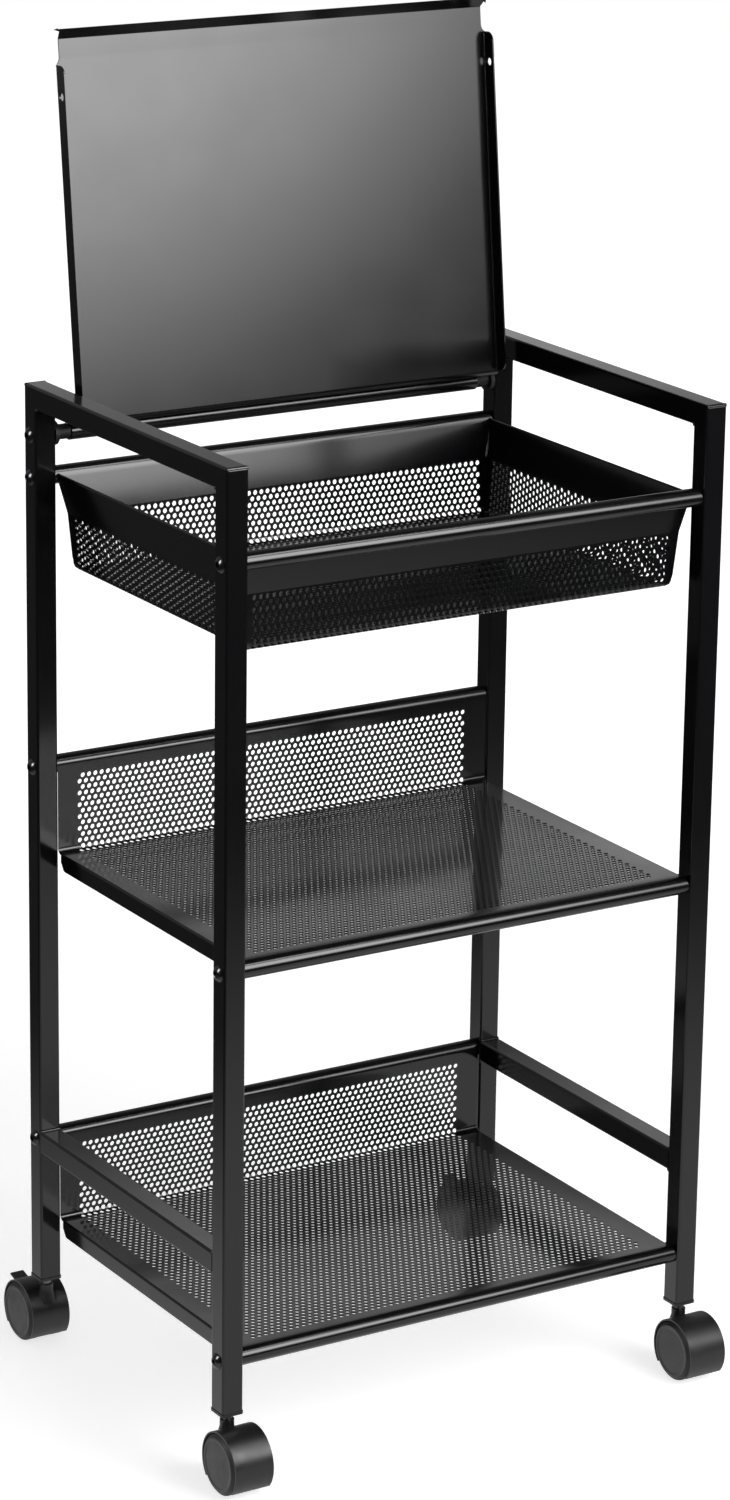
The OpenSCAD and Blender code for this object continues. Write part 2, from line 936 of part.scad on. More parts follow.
// Brake lever: a hub on its pin, an arm, a shoe over the treads and a tab
module brake_lever(side) {
    pin = at(brake_pin_at, brake_pin_angle);
    shoe_in = wheel_r + brake_shoe_gap;
    shoe_out = shoe_in + brake_t;
    root = at(shoe_in + brake_t / 2, brake_tab_angle);
    color(nylon_colour)
        on_caster(side, 1)
            on_axle()
                difference() {
                    union() {
                        along_x(brake_hub_w) {
                            translate(pin)
                                circle(brake_hub_r);
                            difference() {
                                intersection() {
                                    circle(shoe_out);
                                    sector(brake_arm_low, brake_arm_high);
                                }
                                circle(brake_arm_in);
                            }
                        }
                        along_x(2 * brake_shoe_x)
                            intersection() {
                                difference() {
                                    circle(shoe_out);
                                    circle(shoe_in);
                                }
                                sector(brake_shoe_low, brake_shoe_high);
                            }
                        along_x(brake_tab_w)
                            translate(root)
                                rotate(brake_tab_rise)
                                    translate([0, -brake_t / 2])
                                        square([brake_tab_l, brake_t]);
                    }
                    translate([0, pin.x, pin.y])
                        rotate([0, 90, 0])
                            cylinder(h = brake_hub_w + 2 * over, r = brake_pin_d / 2 + run_fit, center = true);
                }
}

// Pin of a brake lever, held in the hood's web
module brake_pin(side) {
    pin = at(brake_pin_at, brake_pin_angle);
    color(zinc_colour)
        on_caster(side, 1)
            on_axle()
                translate([0, pin.x, pin.y])
                    rotate([0, 90, 0])
                        cylinder(h = web_w, d = brake_pin_d, center = true);
}

// Axle of a caster, held in the hood's web
module axle(side, end) {
    color(zinc_colour)
        on_caster(side, end)
            on_axle()
                rotate([0, 90, 0])
                    cylinder(h = 2 * axle_half, d = axle_d, center = true);
}

// Half section of a wheel: radius across, axle distance up
module wheel_section() {
    shoulder = wheel_r - tread_round;
    difference() {
        union() {
            translate([0, wheel_in])
                square([shoulder, tread_w]);
            translate([0, wheel_in + tread_round])
                square([wheel_r, tread_w - 2 * tread_round]);
            for (x = [wheel_in + tread_round, tread_out - tread_round])
                translate([shoulder, x])
                    circle(tread_round);
            polygon([[0, tread_out], [shoulder, tread_out], [disc_d / 2, disc_x], [0, disc_x]]);
        }
        translate([hub_r, wheel_in - over])
            square([wheel_r - rim_t - hub_r, disc_x - disc_t - wheel_in + over]);
        translate([-over, wheel_in - over])
            square([over + axle_d / 2 + run_fit, axle_half + pass_gap - wheel_in + over]);
    }
}

// A wheel, a dished disc with a blind bore, on its side of the hood's web
module wheel(side, end, outer) {
    // The caster's own frame is turned half round at the front
    way = side * end * (outer ? 1 : -1);
    color(disc_colour)
        on_caster(side, end)
            on_axle()
                rotate([0, way * 90, 0])
                    rotate_extrude()
                        wheel_section();
}

basket_z = basket_axis_h;
middle_front = middle_h - roll_r;
middle_rear = middle_h + upstand_h - roll_r;
bottom_front = bottom_h - roll_r;
bottom_rear = bottom_h + upstand_h - roll_r;

leg(-1, false);  // left_front_leg
leg(-1, true);  // left_rear_leg
leg(1, false);  // right_front_leg
leg(1, true);  // right_rear_leg
top_rail(-1);  // left_top_rail
top_rail(1);  // right_top_rail
lower_rail(-1);  // left_lower_rail
lower_rail(1);  // right_lower_rail
plug(-1, -1);  // left_front_plug
plug(-1, 1);  // left_rear_plug
plug(1, -1);  // right_front_plug
plug(1, 1);  // right_rear_plug
basket();
shelf(middle_h);  // middle_shelf
shelf(bottom_h);  // bottom_shelf
inserts(basket_z, basket_z);  // basket_inserts
inserts(middle_front, middle_rear);  // middle_shelf_inserts
inserts(bottom_front, bottom_rear);  // bottom_shelf_inserts
screws(basket_z, basket_z);  // basket_screws
screws(middle_front, middle_rear);  // middle_shelf_screws
screws(bottom_front, bottom_rear);  // bottom_shelf_screws
lid();
lid_sleeves();
lid_bushings();
lid_screws();
stem(-1, -1);  // left_front_stem
stem(-1, 1);  // left_rear_stem
stem(1, -1);  // right_front_stem
stem(1, 1);  // right_rear_stem
hood(-1, -1, false);  // left_front_hood
hood(-1, 1, true);  // left_rear_hood
hood(1, -1, false);  // right_front_hood
hood(1, 1, true);  // right_rear_hood
axle(-1, -1);  // left_front_axle
axle(-1, 1);  // left_rear_axle
axle(1, -1);  // right_front_axle
axle(1, 1);  // right_rear_axle
wheel(-1, -1, true);  // left_front_outer_wheel
wheel(-1, -1, false);  // left_front_inner_wheel
wheel(-1, 1, true);  // left_rear_outer_wheel
wheel(-1, 1, false);  // left_rear_inner_wheel
wheel(1, -1, true);  // right_front_outer_wheel
wheel(1, -1, false);  // right_front_inner_wheel
wheel(1, 1, true);  // right_rear_outer_wheel
wheel(1, 1, false);  // right_rear_inner_wheel
brake_lever(-1);  // left_rear_brake_lever
brake_lever(1);  // right_rear_brake_lever
brake_pin(-1);  // left_rear_brake_pin
brake_pin(1);  // right_rear_brake_pin
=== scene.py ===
# Rolling utility cart with a lidded basket and two shelves, all powder-coated
# steel. X runs to the right, Y to the rear and Z up, from the floor under the
# middle of the frame. Sizes are in millimetres until MM turns them to metres.

from math import asin, atan, atan2, copysign, cos, degrees, hypot, pi, radians, sin, sqrt, tan

import bmesh
import bpy
from mathutils import Matrix, Vector


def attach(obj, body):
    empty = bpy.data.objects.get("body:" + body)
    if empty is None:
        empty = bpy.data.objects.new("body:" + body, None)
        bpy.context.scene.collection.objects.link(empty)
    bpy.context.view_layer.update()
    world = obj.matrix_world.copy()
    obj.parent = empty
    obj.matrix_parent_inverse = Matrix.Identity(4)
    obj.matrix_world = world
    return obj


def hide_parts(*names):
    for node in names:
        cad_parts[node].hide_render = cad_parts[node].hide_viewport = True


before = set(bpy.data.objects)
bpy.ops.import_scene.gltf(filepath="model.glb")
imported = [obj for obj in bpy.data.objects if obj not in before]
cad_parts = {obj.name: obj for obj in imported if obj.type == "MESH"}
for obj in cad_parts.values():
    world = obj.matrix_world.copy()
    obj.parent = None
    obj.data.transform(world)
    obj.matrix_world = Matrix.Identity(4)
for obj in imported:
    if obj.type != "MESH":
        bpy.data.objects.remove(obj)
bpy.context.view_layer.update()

MM = 0.001

# Frame
LEG_X = 186
LEG_Y = 131
TUBE = 16
INNER_X = 178
FRAME_TOP = 709
LOWER_RAIL_TOP = 167

# Sheet metal
SHEET = 1.0
SHEET_X = 177
ROLL = 6.4
ROLL_TURN = 308
ROLL_STEPS = 22
SHELF_BEND = 3.0
UPSTAND = 70
FLANGE = 12
FLANGE_CORNER = 6

# Punching: round holes in staggered rows
PITCH = 5.0
ROW = PITCH * sqrt(3) / 2
HOLE = 1.8


# Modelling

def clear():
    """Leaves edit mode with nothing selected."""
    if bpy.context.mode != "OBJECT":
        bpy.ops.object.mode_set(mode="OBJECT")
    bpy.ops.object.select_all(action="DESELECT")


def only(piece):
    clear()
    piece.select_set(True)
    bpy.context.view_layer.objects.active = piece


def named(name):
    """Names the primitive that was just added."""
    piece = bpy.context.active_object
    piece.name = name
    piece.data.name = name
    return piece


def edit(piece, kind):
    """Opens a piece for editing, with nothing selected."""
    only(piece)
    bpy.ops.object.mode_set(mode="EDIT")
    bpy.ops.mesh.select_mode(type="VERT")
    bpy.ops.mesh.select_all(action="DESELECT")
    bpy.ops.mesh.select_mode(type=kind)


def open_mesh():
    return bmesh.from_edit_mesh(bpy.context.edit_object.data)


def shown():
    bmesh.update_edit_mesh(bpy.context.edit_object.data)


def pick_edges(test):
    """Selects the edges of the sheet's outline that a test takes."""
    bpy.ops.mesh.select_all(action="DESELECT")
    shape = open_mesh()
    count = 0
    for edge in shape.edges:
        if edge.is_boundary and test(edge):
            edge.select_set(True)
            count += 1
    shown()
    return count


def pick_faces(test):
    bpy.ops.mesh.select_all(action="DESELECT")
    shape = open_mesh()
    for face in shape.faces:
        if test(face):
            face.select_set(True)
    shown()


def reshape(change):
    """Moves points of the flat sheet that is open for editing.

    change(x, y) gives a point's new place in millimetres, or None to leave it.
    """
    for vertex in open_mesh().verts:
        place = change(vertex.co.x / MM, vertex.co.y / MM)
        if place is not None:
            vertex.co.x, vertex.co.y = place[0] * MM, place[1] * MM
    shown()


def rounded(test, radius, segments):
    """Rounds the corners of the open sheet that a test of their place takes."""
    bpy.ops.mesh.select_all(action="DESELECT")
    bpy.ops.mesh.select_mode(type="VERT")
    for vertex in open_mesh().verts:
        vertex.select_set(test(vertex.co.x / MM, vertex.co.y / MM))
    shown()
    bpy.ops.mesh.bevel(offset=radius * MM, segments=segments, affect="VERTICES", clamp_overlap=False)
    bpy.ops.mesh.select_mode(type="EDGE")


def merge(distance=0.01):
    bpy.ops.mesh.select_all(action="SELECT")
    bpy.ops.mesh.remove_doubles(threshold=distance * MM)


def apply_all(piece):
    only(piece)
    for modifier in list(piece.modifiers):
        bpy.ops.object.modifier_apply(modifier=modifier.name)


def repeat(piece, count, step):
    """Repeats a piece along a step, with its seams merged."""
    only(piece)
    array = piece.modifiers.new("row", "ARRAY")
    array.count = count
    array.use_relative_offset = False
    array.use_constant_offset = True
    array.constant_offset_displace = Vector(step) * MM
    array.use_merge_vertices = True
    array.merge_threshold = 0.01 * MM
    apply_all(piece)


def copied(piece, name):
    """A copy of a piece with its own mesh."""
    only(piece)
    bpy.ops.object.duplicate()
    return named(name)


def joined(pieces, name):
    clear()
    for piece in pieces:
        piece.select_set(True)
    bpy.context.view_layer.objects.active = pieces[0]
    bpy.ops.object.join()
    return named(name)


def moved(piece, place):
    """Moves every point of a piece by a function of its place in millimetres."""
    for vertex in piece.data.vertices:
        vertex.co = Vector(place(*(vertex.co / MM))) * MM
    piece.data.update()


def smooth(piece, angle=50):
    only(piece)
    bpy.ops.object.shade_smooth_by_angle(angle=radians(angle))


def face_out(piece, look=None):
    """Makes a piece's normals agree, on an open sheet with a face seen from a side."""
    edit(piece, "FACE")
    bpy.ops.mesh.select_all(action="SELECT")
    bpy.ops.mesh.normals_make_consistent(inside=False)
    if look is not None:
        place, side = look
        spot = Vector(place) * MM
        nearest = min(open_mesh().faces, key=lambda face: (face.calc_center_median() - spot).length)
        if nearest.normal.dot(Vector(side)) < 0:
            bpy.ops.mesh.flip_normals()
    clear()


def thicken(piece):
    """Gives a sheet its thickness behind its faces."""
    solid = piece.modifiers.new("sheet", "SOLIDIFY")
    solid.thickness = SHEET * MM
    solid.offset = -1
    solid.use_even_offset = True
    apply_all(piece)


# Folded sheet

def folded(start, heading, legs):
    """The path of a folded sheet seen from its side, as a function of its flat length.

    Each leg is (flat length, radius, turn): a turn of 0 is straight, and a
    positive turn goes to the left. The radius is that of the face that is drawn.
    """
    places = []
    at = Vector(start)
    angle = radians(heading)
    begun = 0.0
    for flat, radius, turn in legs:
        places.append((begun, flat, at.copy(), angle, radius, radians(turn)))
        if turn == 0:
            at = at + flat * Vector((cos(angle), sin(angle)))
        else:
            side = 1 if turn > 0 else -1
            left = Vector((-sin(angle), cos(angle))) * side
            centre = at + radius * left
            angle += radians(turn)
            left = Vector((-sin(angle), cos(angle))) * side
            at = centre - radius * left
        begun += flat

    def place(length):
        for begun, flat, at, angle, radius, turn in reversed(places):
            if length >= begun - 1e-6:
                break
        if turn == 0:
            return at + (length - begun) * Vector((cos(angle), sin(angle)))
        side = 1 if turn > 0 else -1
        now = angle + turn * (length - begun) / flat
        centre = at + radius * side * Vector((-sin(angle), cos(angle)))
        return centre - radius * side * Vector((-sin(now), cos(now)))

    return place


def even_faces(piece):
    """Lets the large flat faces keep their own direction beside the bends."""
    even = piece.modifiers.new("even", "WEIGHTED_NORMAL")
    even.keep_sharp = True
    apply_all(piece)


def turned(name, sides, rings):
    """A piece turned about Z, drawn out from a circle ring by ring.

    A ring is (radius, height), or (radius, height, True) for a hexagon with
    that radius to its corners.
    """
    bpy.ops.mesh.primitive_circle_add(vertices=sides, radius=MM, fill_type="NOTHING")
    piece = named(name)
    edit(piece, "EDGE")
    bpy.ops.mesh.select_all(action="SELECT")
    for number, ring in enumerate(rings):
        if number:
            bpy.ops.mesh.extrude_region_move()
        for vertex in open_mesh().verts:
            if vertex.select:
                angle = atan2(vertex.co.y, vertex.co.x)
                radius = max(ring[0], 0.001)
                if len(ring) > 2:
                    radius *= cos(pi / 6) / cos(angle % (pi / 3) - pi / 6)
                vertex.co = Vector((radius * cos(angle), radius * sin(angle), ring[1])) * MM
        shown()
    merge()
    clear()
    face_out(piece)
    return piece


def softened(node, name, edge, angle=35):
    """A copy of a solid with its sharp edges rounded off."""
    only(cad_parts[node])
    bpy.ops.object.duplicate()
    piece = named(name)
    for mark in [key for key in piece.keys() if key.startswith("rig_")]:
        del piece[mark]
    piece.parent = None
    edit(piece, "FACE")
    merge(0.002)
    bpy.ops.mesh.dissolve_limited(angle_limit=radians(1))
    clear()
    bevel = piece.modifiers.new("edges", "BEVEL")
    bevel.width = edge * MM
    bevel.segments = 2
    bevel.limit_method = "ANGLE"
    bevel.angle_limit = radians(angle)
    bevel.use_clamp_overlap = True
    apply_all(piece)
    smooth(piece, 40)
    return piece


def bend_flat(inner, turn):
    """Flat length of a bend, along the middle of the sheet."""
    return (inner + SHEET / 2) * radians(turn)


def punched(name, sides, first, last, middle, wide, keep):
    """A flat field of punched rows.

    Row n lies at n times ROW past the middle, with a hole in line with it in
    the even rows. keep(n, x) takes a hole. wide is the half width before that.
    """
    bpy.ops.mesh.primitive_circle_add(vertices=sides, radius=HOLE * MM, fill_type="NOTHING")
    field = named(name)
    edit(field, "EDGE")
    bpy.ops.mesh.select_all(action="SELECT")
    bpy.ops.mesh.extrude_region_move()
    for vertex in open_mesh().verts:
        if vertex.select:
            x, y = vertex.co.x / MM, vertex.co.y / MM
            across = 0 if abs(x) < 0.1 else PITCH / 2 if x > 0 else -PITCH / 2
            along = 0 if abs(y) < 0.1 else ROW / 2 if y > 0 else -ROW / 2
            vertex.co.x, vertex.co.y = across * MM, along * MM
    shown()
    merge()
    clear()
    columns = int(2 * wide / PITCH) + 3
    repeat(field, columns, (PITCH, 0, 0))
    edit(field, "EDGE")
    bpy.ops.mesh.select_all(action="SELECT")
    bpy.ops.mesh.duplicate_move(TRANSFORM_OT_translate={"value": (PITCH / 2 * MM, ROW * MM, 0)})
    merge()
    clear()
    repeat(field, (last - first) // 2 + 1, (0, 2 * ROW, 0))
    shift = middle[0] + (PITCH / 2 if first % 2 else 0) - PITCH * (columns // 2)
    moved(field, lambda x, y, z: (x + shift, y + middle[1] + first * ROW, 0))

    def surplus(face):
        centre = face.calc_center_median() / MM
        row = round((centre.y - middle[1]) / ROW)
        offset = middle[0] + (PITCH / 2 if row % 2 else 0)
        hole = offset + PITCH * round((centre.x - offset) / PITCH)
        return not (first <= row <= last and keep(row, hole))

    edit(field, "FACE")
    pick_faces(surplus)
    bpy.ops.mesh.delete(type="FACE")
    clear()
    return field


def grow(axis, at, to, low=-1e6, high=1e6, keep=None):
    """Draws out the edges of a flat sheet's outline that lie on a line.

    The line is at a place on an axis, and between two places along it. With
    keep, the new line has points at those places only.
    """
    other = 1 - axis

    def on_line(edge):
        return all(abs(v.co[axis] / MM - at) < 0.02 and low - 0.02 < v.co[other] / MM < high + 0.02
                   for v in edge.verts)

    if not pick_edges(on_line):
        return
    step = [0, 0, 0]
    step[axis] = (to - at) * MM
    bpy.ops.mesh.extrude_region_move(TRANSFORM_OT_translate={"value": step})
    if keep is not None:
        bpy.ops.mesh.select_mode(type="VERT")
        shape = open_mesh()
        line = sorted((v for v in shape.verts if v.select), key=lambda v: v.co[other])
        stay = set()
        for place in keep:
            nearest = min((v for v in line if v not in stay), key=lambda v: abs(v.co[other] / MM - place))
            stay.add(nearest)
            nearest.co[other] = place * MM
        for vertex in line:
            vertex.select_set(vertex not in stay)
        shape.select_flush_mode()
        shown()
        bpy.ops.mesh.dissolve_verts()
        bpy.ops.mesh.select_mode(type="EDGE")


def roll_out(at, away):
    """Draws out the straight strips of a rolled edge, from a line at a length."""
    for step in range(ROLL_STEPS):
        here = at + away * ROLL_L * step / ROLL_STEPS
        grow(1, here, here + away * ROLL_L / ROLL_STEPS)


# Shelves

# Flat lengths from the top of the front roll: the floor, its bend, the upstand
FLOOR_L = 2 * LEG_Y - ROLL - SHELF_BEND
BEND_L = bend_flat(SHELF_BEND, 90)
UPSTAND_L = UPSTAND - ROLL - SHELF_BEND
ROLL_L = bend_flat(ROLL - SHEET, ROLL_TURN)
# Heights of the floors' top faces
MIDDLE_H = 373.5
BOTTOM_H = 96.5
# Rows are counted from the upstand's top one, at this length, to the front
TOP_ROW = 309.2
FRONT_ROW = -69
# The floor's rows end here, and those of the bend and the upstand begin
SEAM_ROW = -14
ROW_HOLES = 64
SHELF_FIELD = (-PITCH * (ROW_HOLES + 1) / 2, PITCH * ROW_HOLES / 2)
# Half width of a punched field at first
SPARE = 165
# Folds of the shelves' side flanges
FOLD_R = 1.5
FOLD_X = SHEET_X - FOLD_R
FOLD_L = bend_flat(FOLD_R - SHEET, 90)
# The sheet steps out to its rolls' width at these lengths from them
FRONT_NECK = 1.2
UPSTAND_NECK = 3.5
NECK_STEP = 0.4


def shelf_hole(row, x):
    """Takes a full row of holes, half a pitch to the left in the odd rows."""
    middle = -PITCH / 2 if row % 2 else 0
    return abs(x - middle) < PITCH * ROW_HOLES / 2


def straight_sides():
    """Fills the half holes at the ends of every other row."""
    grow(0, SHELF_FIELD[0] + PITCH / 2, SHELF_FIELD[0])
    grow(0, SHELF_FIELD[1] - PITCH / 2, SHELF_FIELD[1])
    merge()


def widened(at, factor):
    """Moves a line's points outwards or inwards, where the sheet changes its width."""
    reshape(lambda x, y: (x * factor, y) if abs(y - at) < 0.02 else None)


def flat_shelf_floor():
    field = punched("shelf_floor", 8, FRONT_ROW, SEAM_ROW, (PITCH / 2, TOP_ROW), SPARE, shelf_hole)
    front = TOP_ROW + (FRONT_ROW - 0.5) * ROW
    end = TOP_ROW + (SEAM_ROW + 0.5) * ROW
    edit(field, "EDGE")
    straight_sides()
    grow(0, SHELF_FIELD[0], -FOLD_X)
    grow(0, SHELF_FIELD[1], FOLD_X)
    grow(1, front, ROLL, keep=(-FOLD_X, FOLD_X))
    for side in (-1, 1):
        at = side * FOLD_X
        for step in range(3):
            grow(0, at, at + side * FOLD_L / 3)
            at += side * FOLD_L / 3
        grow(0, at, at + side * (FLANGE - FOLD_R))

    def flange_end(x, y):
        """The flanges run on to the bend, with a round lower corner."""
        if abs(x) < FOLD_X + 0.1:
            return None
        if abs(y - end) < 0.02:
            y = FLOOR_L
        into = y - (FLOOR_L - FLANGE_CORNER)
        if abs(x) > FOLD_X + FOLD_L + 1 and into > 0:
            x -= copysign(FLANGE_CORNER - sqrt(max(0, FLANGE_CORNER ** 2 - into ** 2)), x)
        return x, y

    reshape(flange_end)
    grow(1, ROLL, ROLL - FRONT_NECK, -FOLD_X, FOLD_X)
    widened(ROLL - FRONT_NECK, INNER_X / FOLD_X)
    grow(1, ROLL - FRONT_NECK, 0)
    roll_out(0, -1)
    clear()
    return field


def flat_upstand():
    field = punched("shelf_upstand", 12, SEAM_ROW + 1, 0, (PITCH / 2, TOP_ROW), SPARE, shelf_hole)
    top = TOP_ROW + ROW / 2
    tangent = FLOOR_L + BEND_L + UPSTAND_L
    neck = tangent - UPSTAND_NECK

    def foot(x, y):
        """The upstand's foot is as narrow as the floor between its folds."""
        if abs(abs(x) - SHEET_X) < 0.02 and y < FLOOR_L:
            return copysign(FOLD_X, x), y
        return None

    edit(field, "EDGE")
    straight_sides()
    grow(0, SHELF_FIELD[0], -SHEET_X)
    grow(0, SHELF_FIELD[1], SHEET_X)
    reshape(foot)
    grow(1, top, neck - NECK_STEP, keep=(-SHEET_X, SHEET_X))
    grow(1, neck - NECK_STEP, neck)
    widened(neck, INNER_X / SHEET_X)
    grow(1, neck, tangent)
    roll_out(tangent, 1)
    clear()
    return field


def shelf_place(height):
    """Folds a shelf's flat sheet, at the height of its floor."""
    front = folded((-LEG_Y, height), 180, [(ROLL_L, ROLL, ROLL_TURN)])
    back = folded((-LEG_Y, height), 0, [
        (FLOOR_L, 0, 0), (BEND_L, SHELF_BEND, 90), (UPSTAND_L, 0, 0), (ROLL_L, ROLL, -ROLL_TURN)])

    def place(x, length, z):
        y, up = back(length) if length >= 0 else front(-length)
        side = abs(x)
        if ROLL - 0.1 <= length < FLOOR_L + 0.01 and side > FOLD_X + 0.01:
            past = side - FOLD_X
            if past <= FOLD_L:
                angle = past / FOLD_L * pi / 2
                return copysign(FOLD_X + FOLD_R * sin(angle), x), y, up - FOLD_R * (1 - cos(angle))
            return copysign(SHEET_X, x), y, up - FOLD_R - (past - FOLD_L)
        return x, y, up

    return place


def shelves():
    made = []
    floor, upstand = flat_shelf_floor(), flat_upstand()
    for name, height in (("middle_shelf", MIDDLE_H), ("bottom_shelf", BOTTOM_H)):
        deck = copied(floor, name + "_floor")
        moved(deck, shelf_place(height))
        face_out(deck, ((0, 0, height), (0, 0, 1)))
        back = copied(upstand, name + "_upstand")
        moved(back, shelf_place(height))
        face_out(back, ((0, LEG_Y - ROLL, height + 30), (0, -1, 0)))
        for piece in (deck, back):
            thicken(piece)
            smooth(piece)
            even_faces(piece)
            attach(piece, "frame")
            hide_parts(name)
            made.append(piece)
    for piece in (floor, upstand):
        only(piece)
        bpy.ops.object.delete()
    return made


# Basket

BASKET_FLOOR = 580.5
BASKET_TOP = 646.5
# Heights of the kink in the walls and of the rolls' axes
KINK = 619.0
AXIS = 644.3
BASKET_BEND = 3.5
CENTRE_Z = BASKET_FLOOR + BASKET_BEND
# Outer half widths of the walls at the floor and at the kink
SIDE_LOW, SIDE_MID = 168.0, 170.8
END_LOW, END_MID = 117.5, 120.8
# The side walls' band leans out by this much over its height
SIDE_FLARE = 6.2
BAND_H = 27.5
# Rows of holes in the floor to each side of its middle one, and in an end wall
FIELD_ROWS = 25
WALL_ROWS = 10
# Holes in the floor's middle row
FLOOR_HOLES = 65


def wall_start(low, mid):
    """Where a basket wall's bend begins on the floor, and the wall's lean."""
    lean = atan((mid - low) / (KINK - (BASKET_FLOOR - SHEET)))
    outer = BASKET_BEND + SHEET
    return low + outer * tan(lean) - outer / cos(lean), lean


SIDE_START, SIDE_LEAN = wall_start(SIDE_LOW, SIDE_MID)
END_START, END_LEAN = wall_start(END_LOW, END_MID)
SIDE_KINK = SIDE_MID - SHEET / cos(SIDE_LEAN)
END_KINK = END_MID - SHEET / cos(END_LEAN)
SIDE_BAND = atan(SIDE_FLARE / BAND_H)
# The band of the end walls runs straight onto its roll
TO_AXIS = hypot(LEG_Y - END_KINK, AXIS - KINK)
END_BAND = atan((LEG_Y - END_KINK) / (AXIS - KINK)) - asin(ROLL / TO_AXIS)
HEM = 7.0
KINK_R = 1.5
# Holes up a side wall in the even rows, and one more in the odd rows
WALL_COLUMNS = 8
# The walls' ends run this far past their holes, then follow the lean
OVERHANG = 4


def wall_path(start, lean, band, kink_x, rest):
    """Path of a basket wall from the middle of the floor to its top edge."""
    turn = pi / 2 - lean
    foot = Vector((start + BASKET_BEND * sin(turn), CENTRE_Z - BASKET_BEND * cos(turn)))
    rise = (Vector((kink_x, KINK)) - foot).length
    cut = KINK_R * tan((band - lean) / 2)
    legs = [
        (start, 0, 0),
        (bend_flat(BASKET_BEND, degrees(turn)), BASKET_BEND, degrees(turn)),
        (rise - cut, 0, 0),
        (KINK_R * (band - lean), KINK_R, -degrees(band - lean)),
    ]
    legs += rest(cut)
    marks = []
    total = 0
    for flat, _, _ in legs:
        total += flat
        marks.append(total)
    return folded((0, BASKET_FLOOR), 0, legs), marks


END_PATH, END_MARKS = wall_path(END_START, END_LEAN, END_BAND, END_KINK, lambda cut: [
    (sqrt(TO_AXIS ** 2 - ROLL ** 2) - cut, 0, 0), (ROLL_L, ROLL, -ROLL_TURN)])
HEM_R = 0.12
HEM_TURN_L = 2.0
SIDE_RISE = (BASKET_TOP - SHEET - HEM_R * (1 + sin(SIDE_BAND)) - KINK) / cos(SIDE_BAND)
SIDE_PATH, SIDE_MARKS = wall_path(SIDE_START, SIDE_LEAN, SIDE_BAND, SIDE_KINK, lambda cut: [
    (SIDE_RISE - cut, 0, 0), (HEM_TURN_L, HEM_R, 180), (HEM - SHEET, 0, 0)])


def corner_of(z, start, kink, lean, band, past):
    """Inner half width of the tub at a height, and a little past it in the walls."""
    if z < CENTRE_Z:
        return start + sqrt(max(0, BASKET_BEND ** 2 - (CENTRE_Z - z) ** 2))
    inner = kink + (z - KINK) * tan(lean if z < KINK else band)
    return inner + past * min(1, (z - CENTRE_Z) / 4)


def end_edge(z):
    return corner_of(z, SIDE_START, SIDE_KINK, SIDE_LEAN, SIDE_BAND, 0.9)


def side_edge(z):
    return corner_of(z, END_START, END_KINK, END_LEAN, END_BAND, 0)


def flat_basket_floor():
    def hole(row, x):
        count = FLOOR_HOLES - 1 if row % 2 else FLOOR_HOLES
        return abs(x) < PITCH * count / 2

    return punched("basket_floor", 8, -FIELD_ROWS, FIELD_ROWS, (0, 0), SPARE, hole)


def flat_end_wall():
    """The rear wall, flat, with its rows along X."""
    first, last = FIELD_ROWS + 1, FIELD_ROWS + WALL_ROWS
    narrow = PITCH * FLOOR_HOLES / 2
    wide = narrow + PITCH / 2
    step = (first + 0.5) * ROW

    def hole(row, x):
        return abs(x) < (wide if row % 2 else narrow)

    def foot(x, y):
        """The first row's ends lie on the floor's own corners."""
        if abs(abs(x) - wide) < 0.02 and y < step - 0.1:
            return copysign(end_edge(END_PATH(y)[1]), x), y
        return None

    def side(x, y):
        """The wall runs out to the leaning side walls."""
        if abs(x) > wide + 0.5:
            return copysign(max(wide, end_edge(END_PATH(y)[1])), x), y
        return None

    wall = punched("end_wall", 12, first, last, (0, 0), SPARE, hole)
    edit(wall, "EDGE")
    for way in (-1, 1):
        grow(0, way * narrow, way * wide)
    merge()
    reshape(foot)
    for way in (-1, 1):
        grow(0, way * wide, way * (wide + OVERHANG), step)
    reshape(side)
    line = (last + 0.5) * ROW
    for count, mark in enumerate((END_MARKS[2], END_MARKS[3], END_MARKS[4] - 2, END_MARKS[4])):
        half = INNER_X if count == 3 else end_edge(END_PATH(mark)[1])
        grow(1, line, mark, keep=None if count else (-half, half))
        reshape(lambda x, y: (copysign(half, x), y) if abs(y - mark) < 0.01 else None)
        line = mark
    roll_out(line, 1)
    merge()
    clear()
    return wall


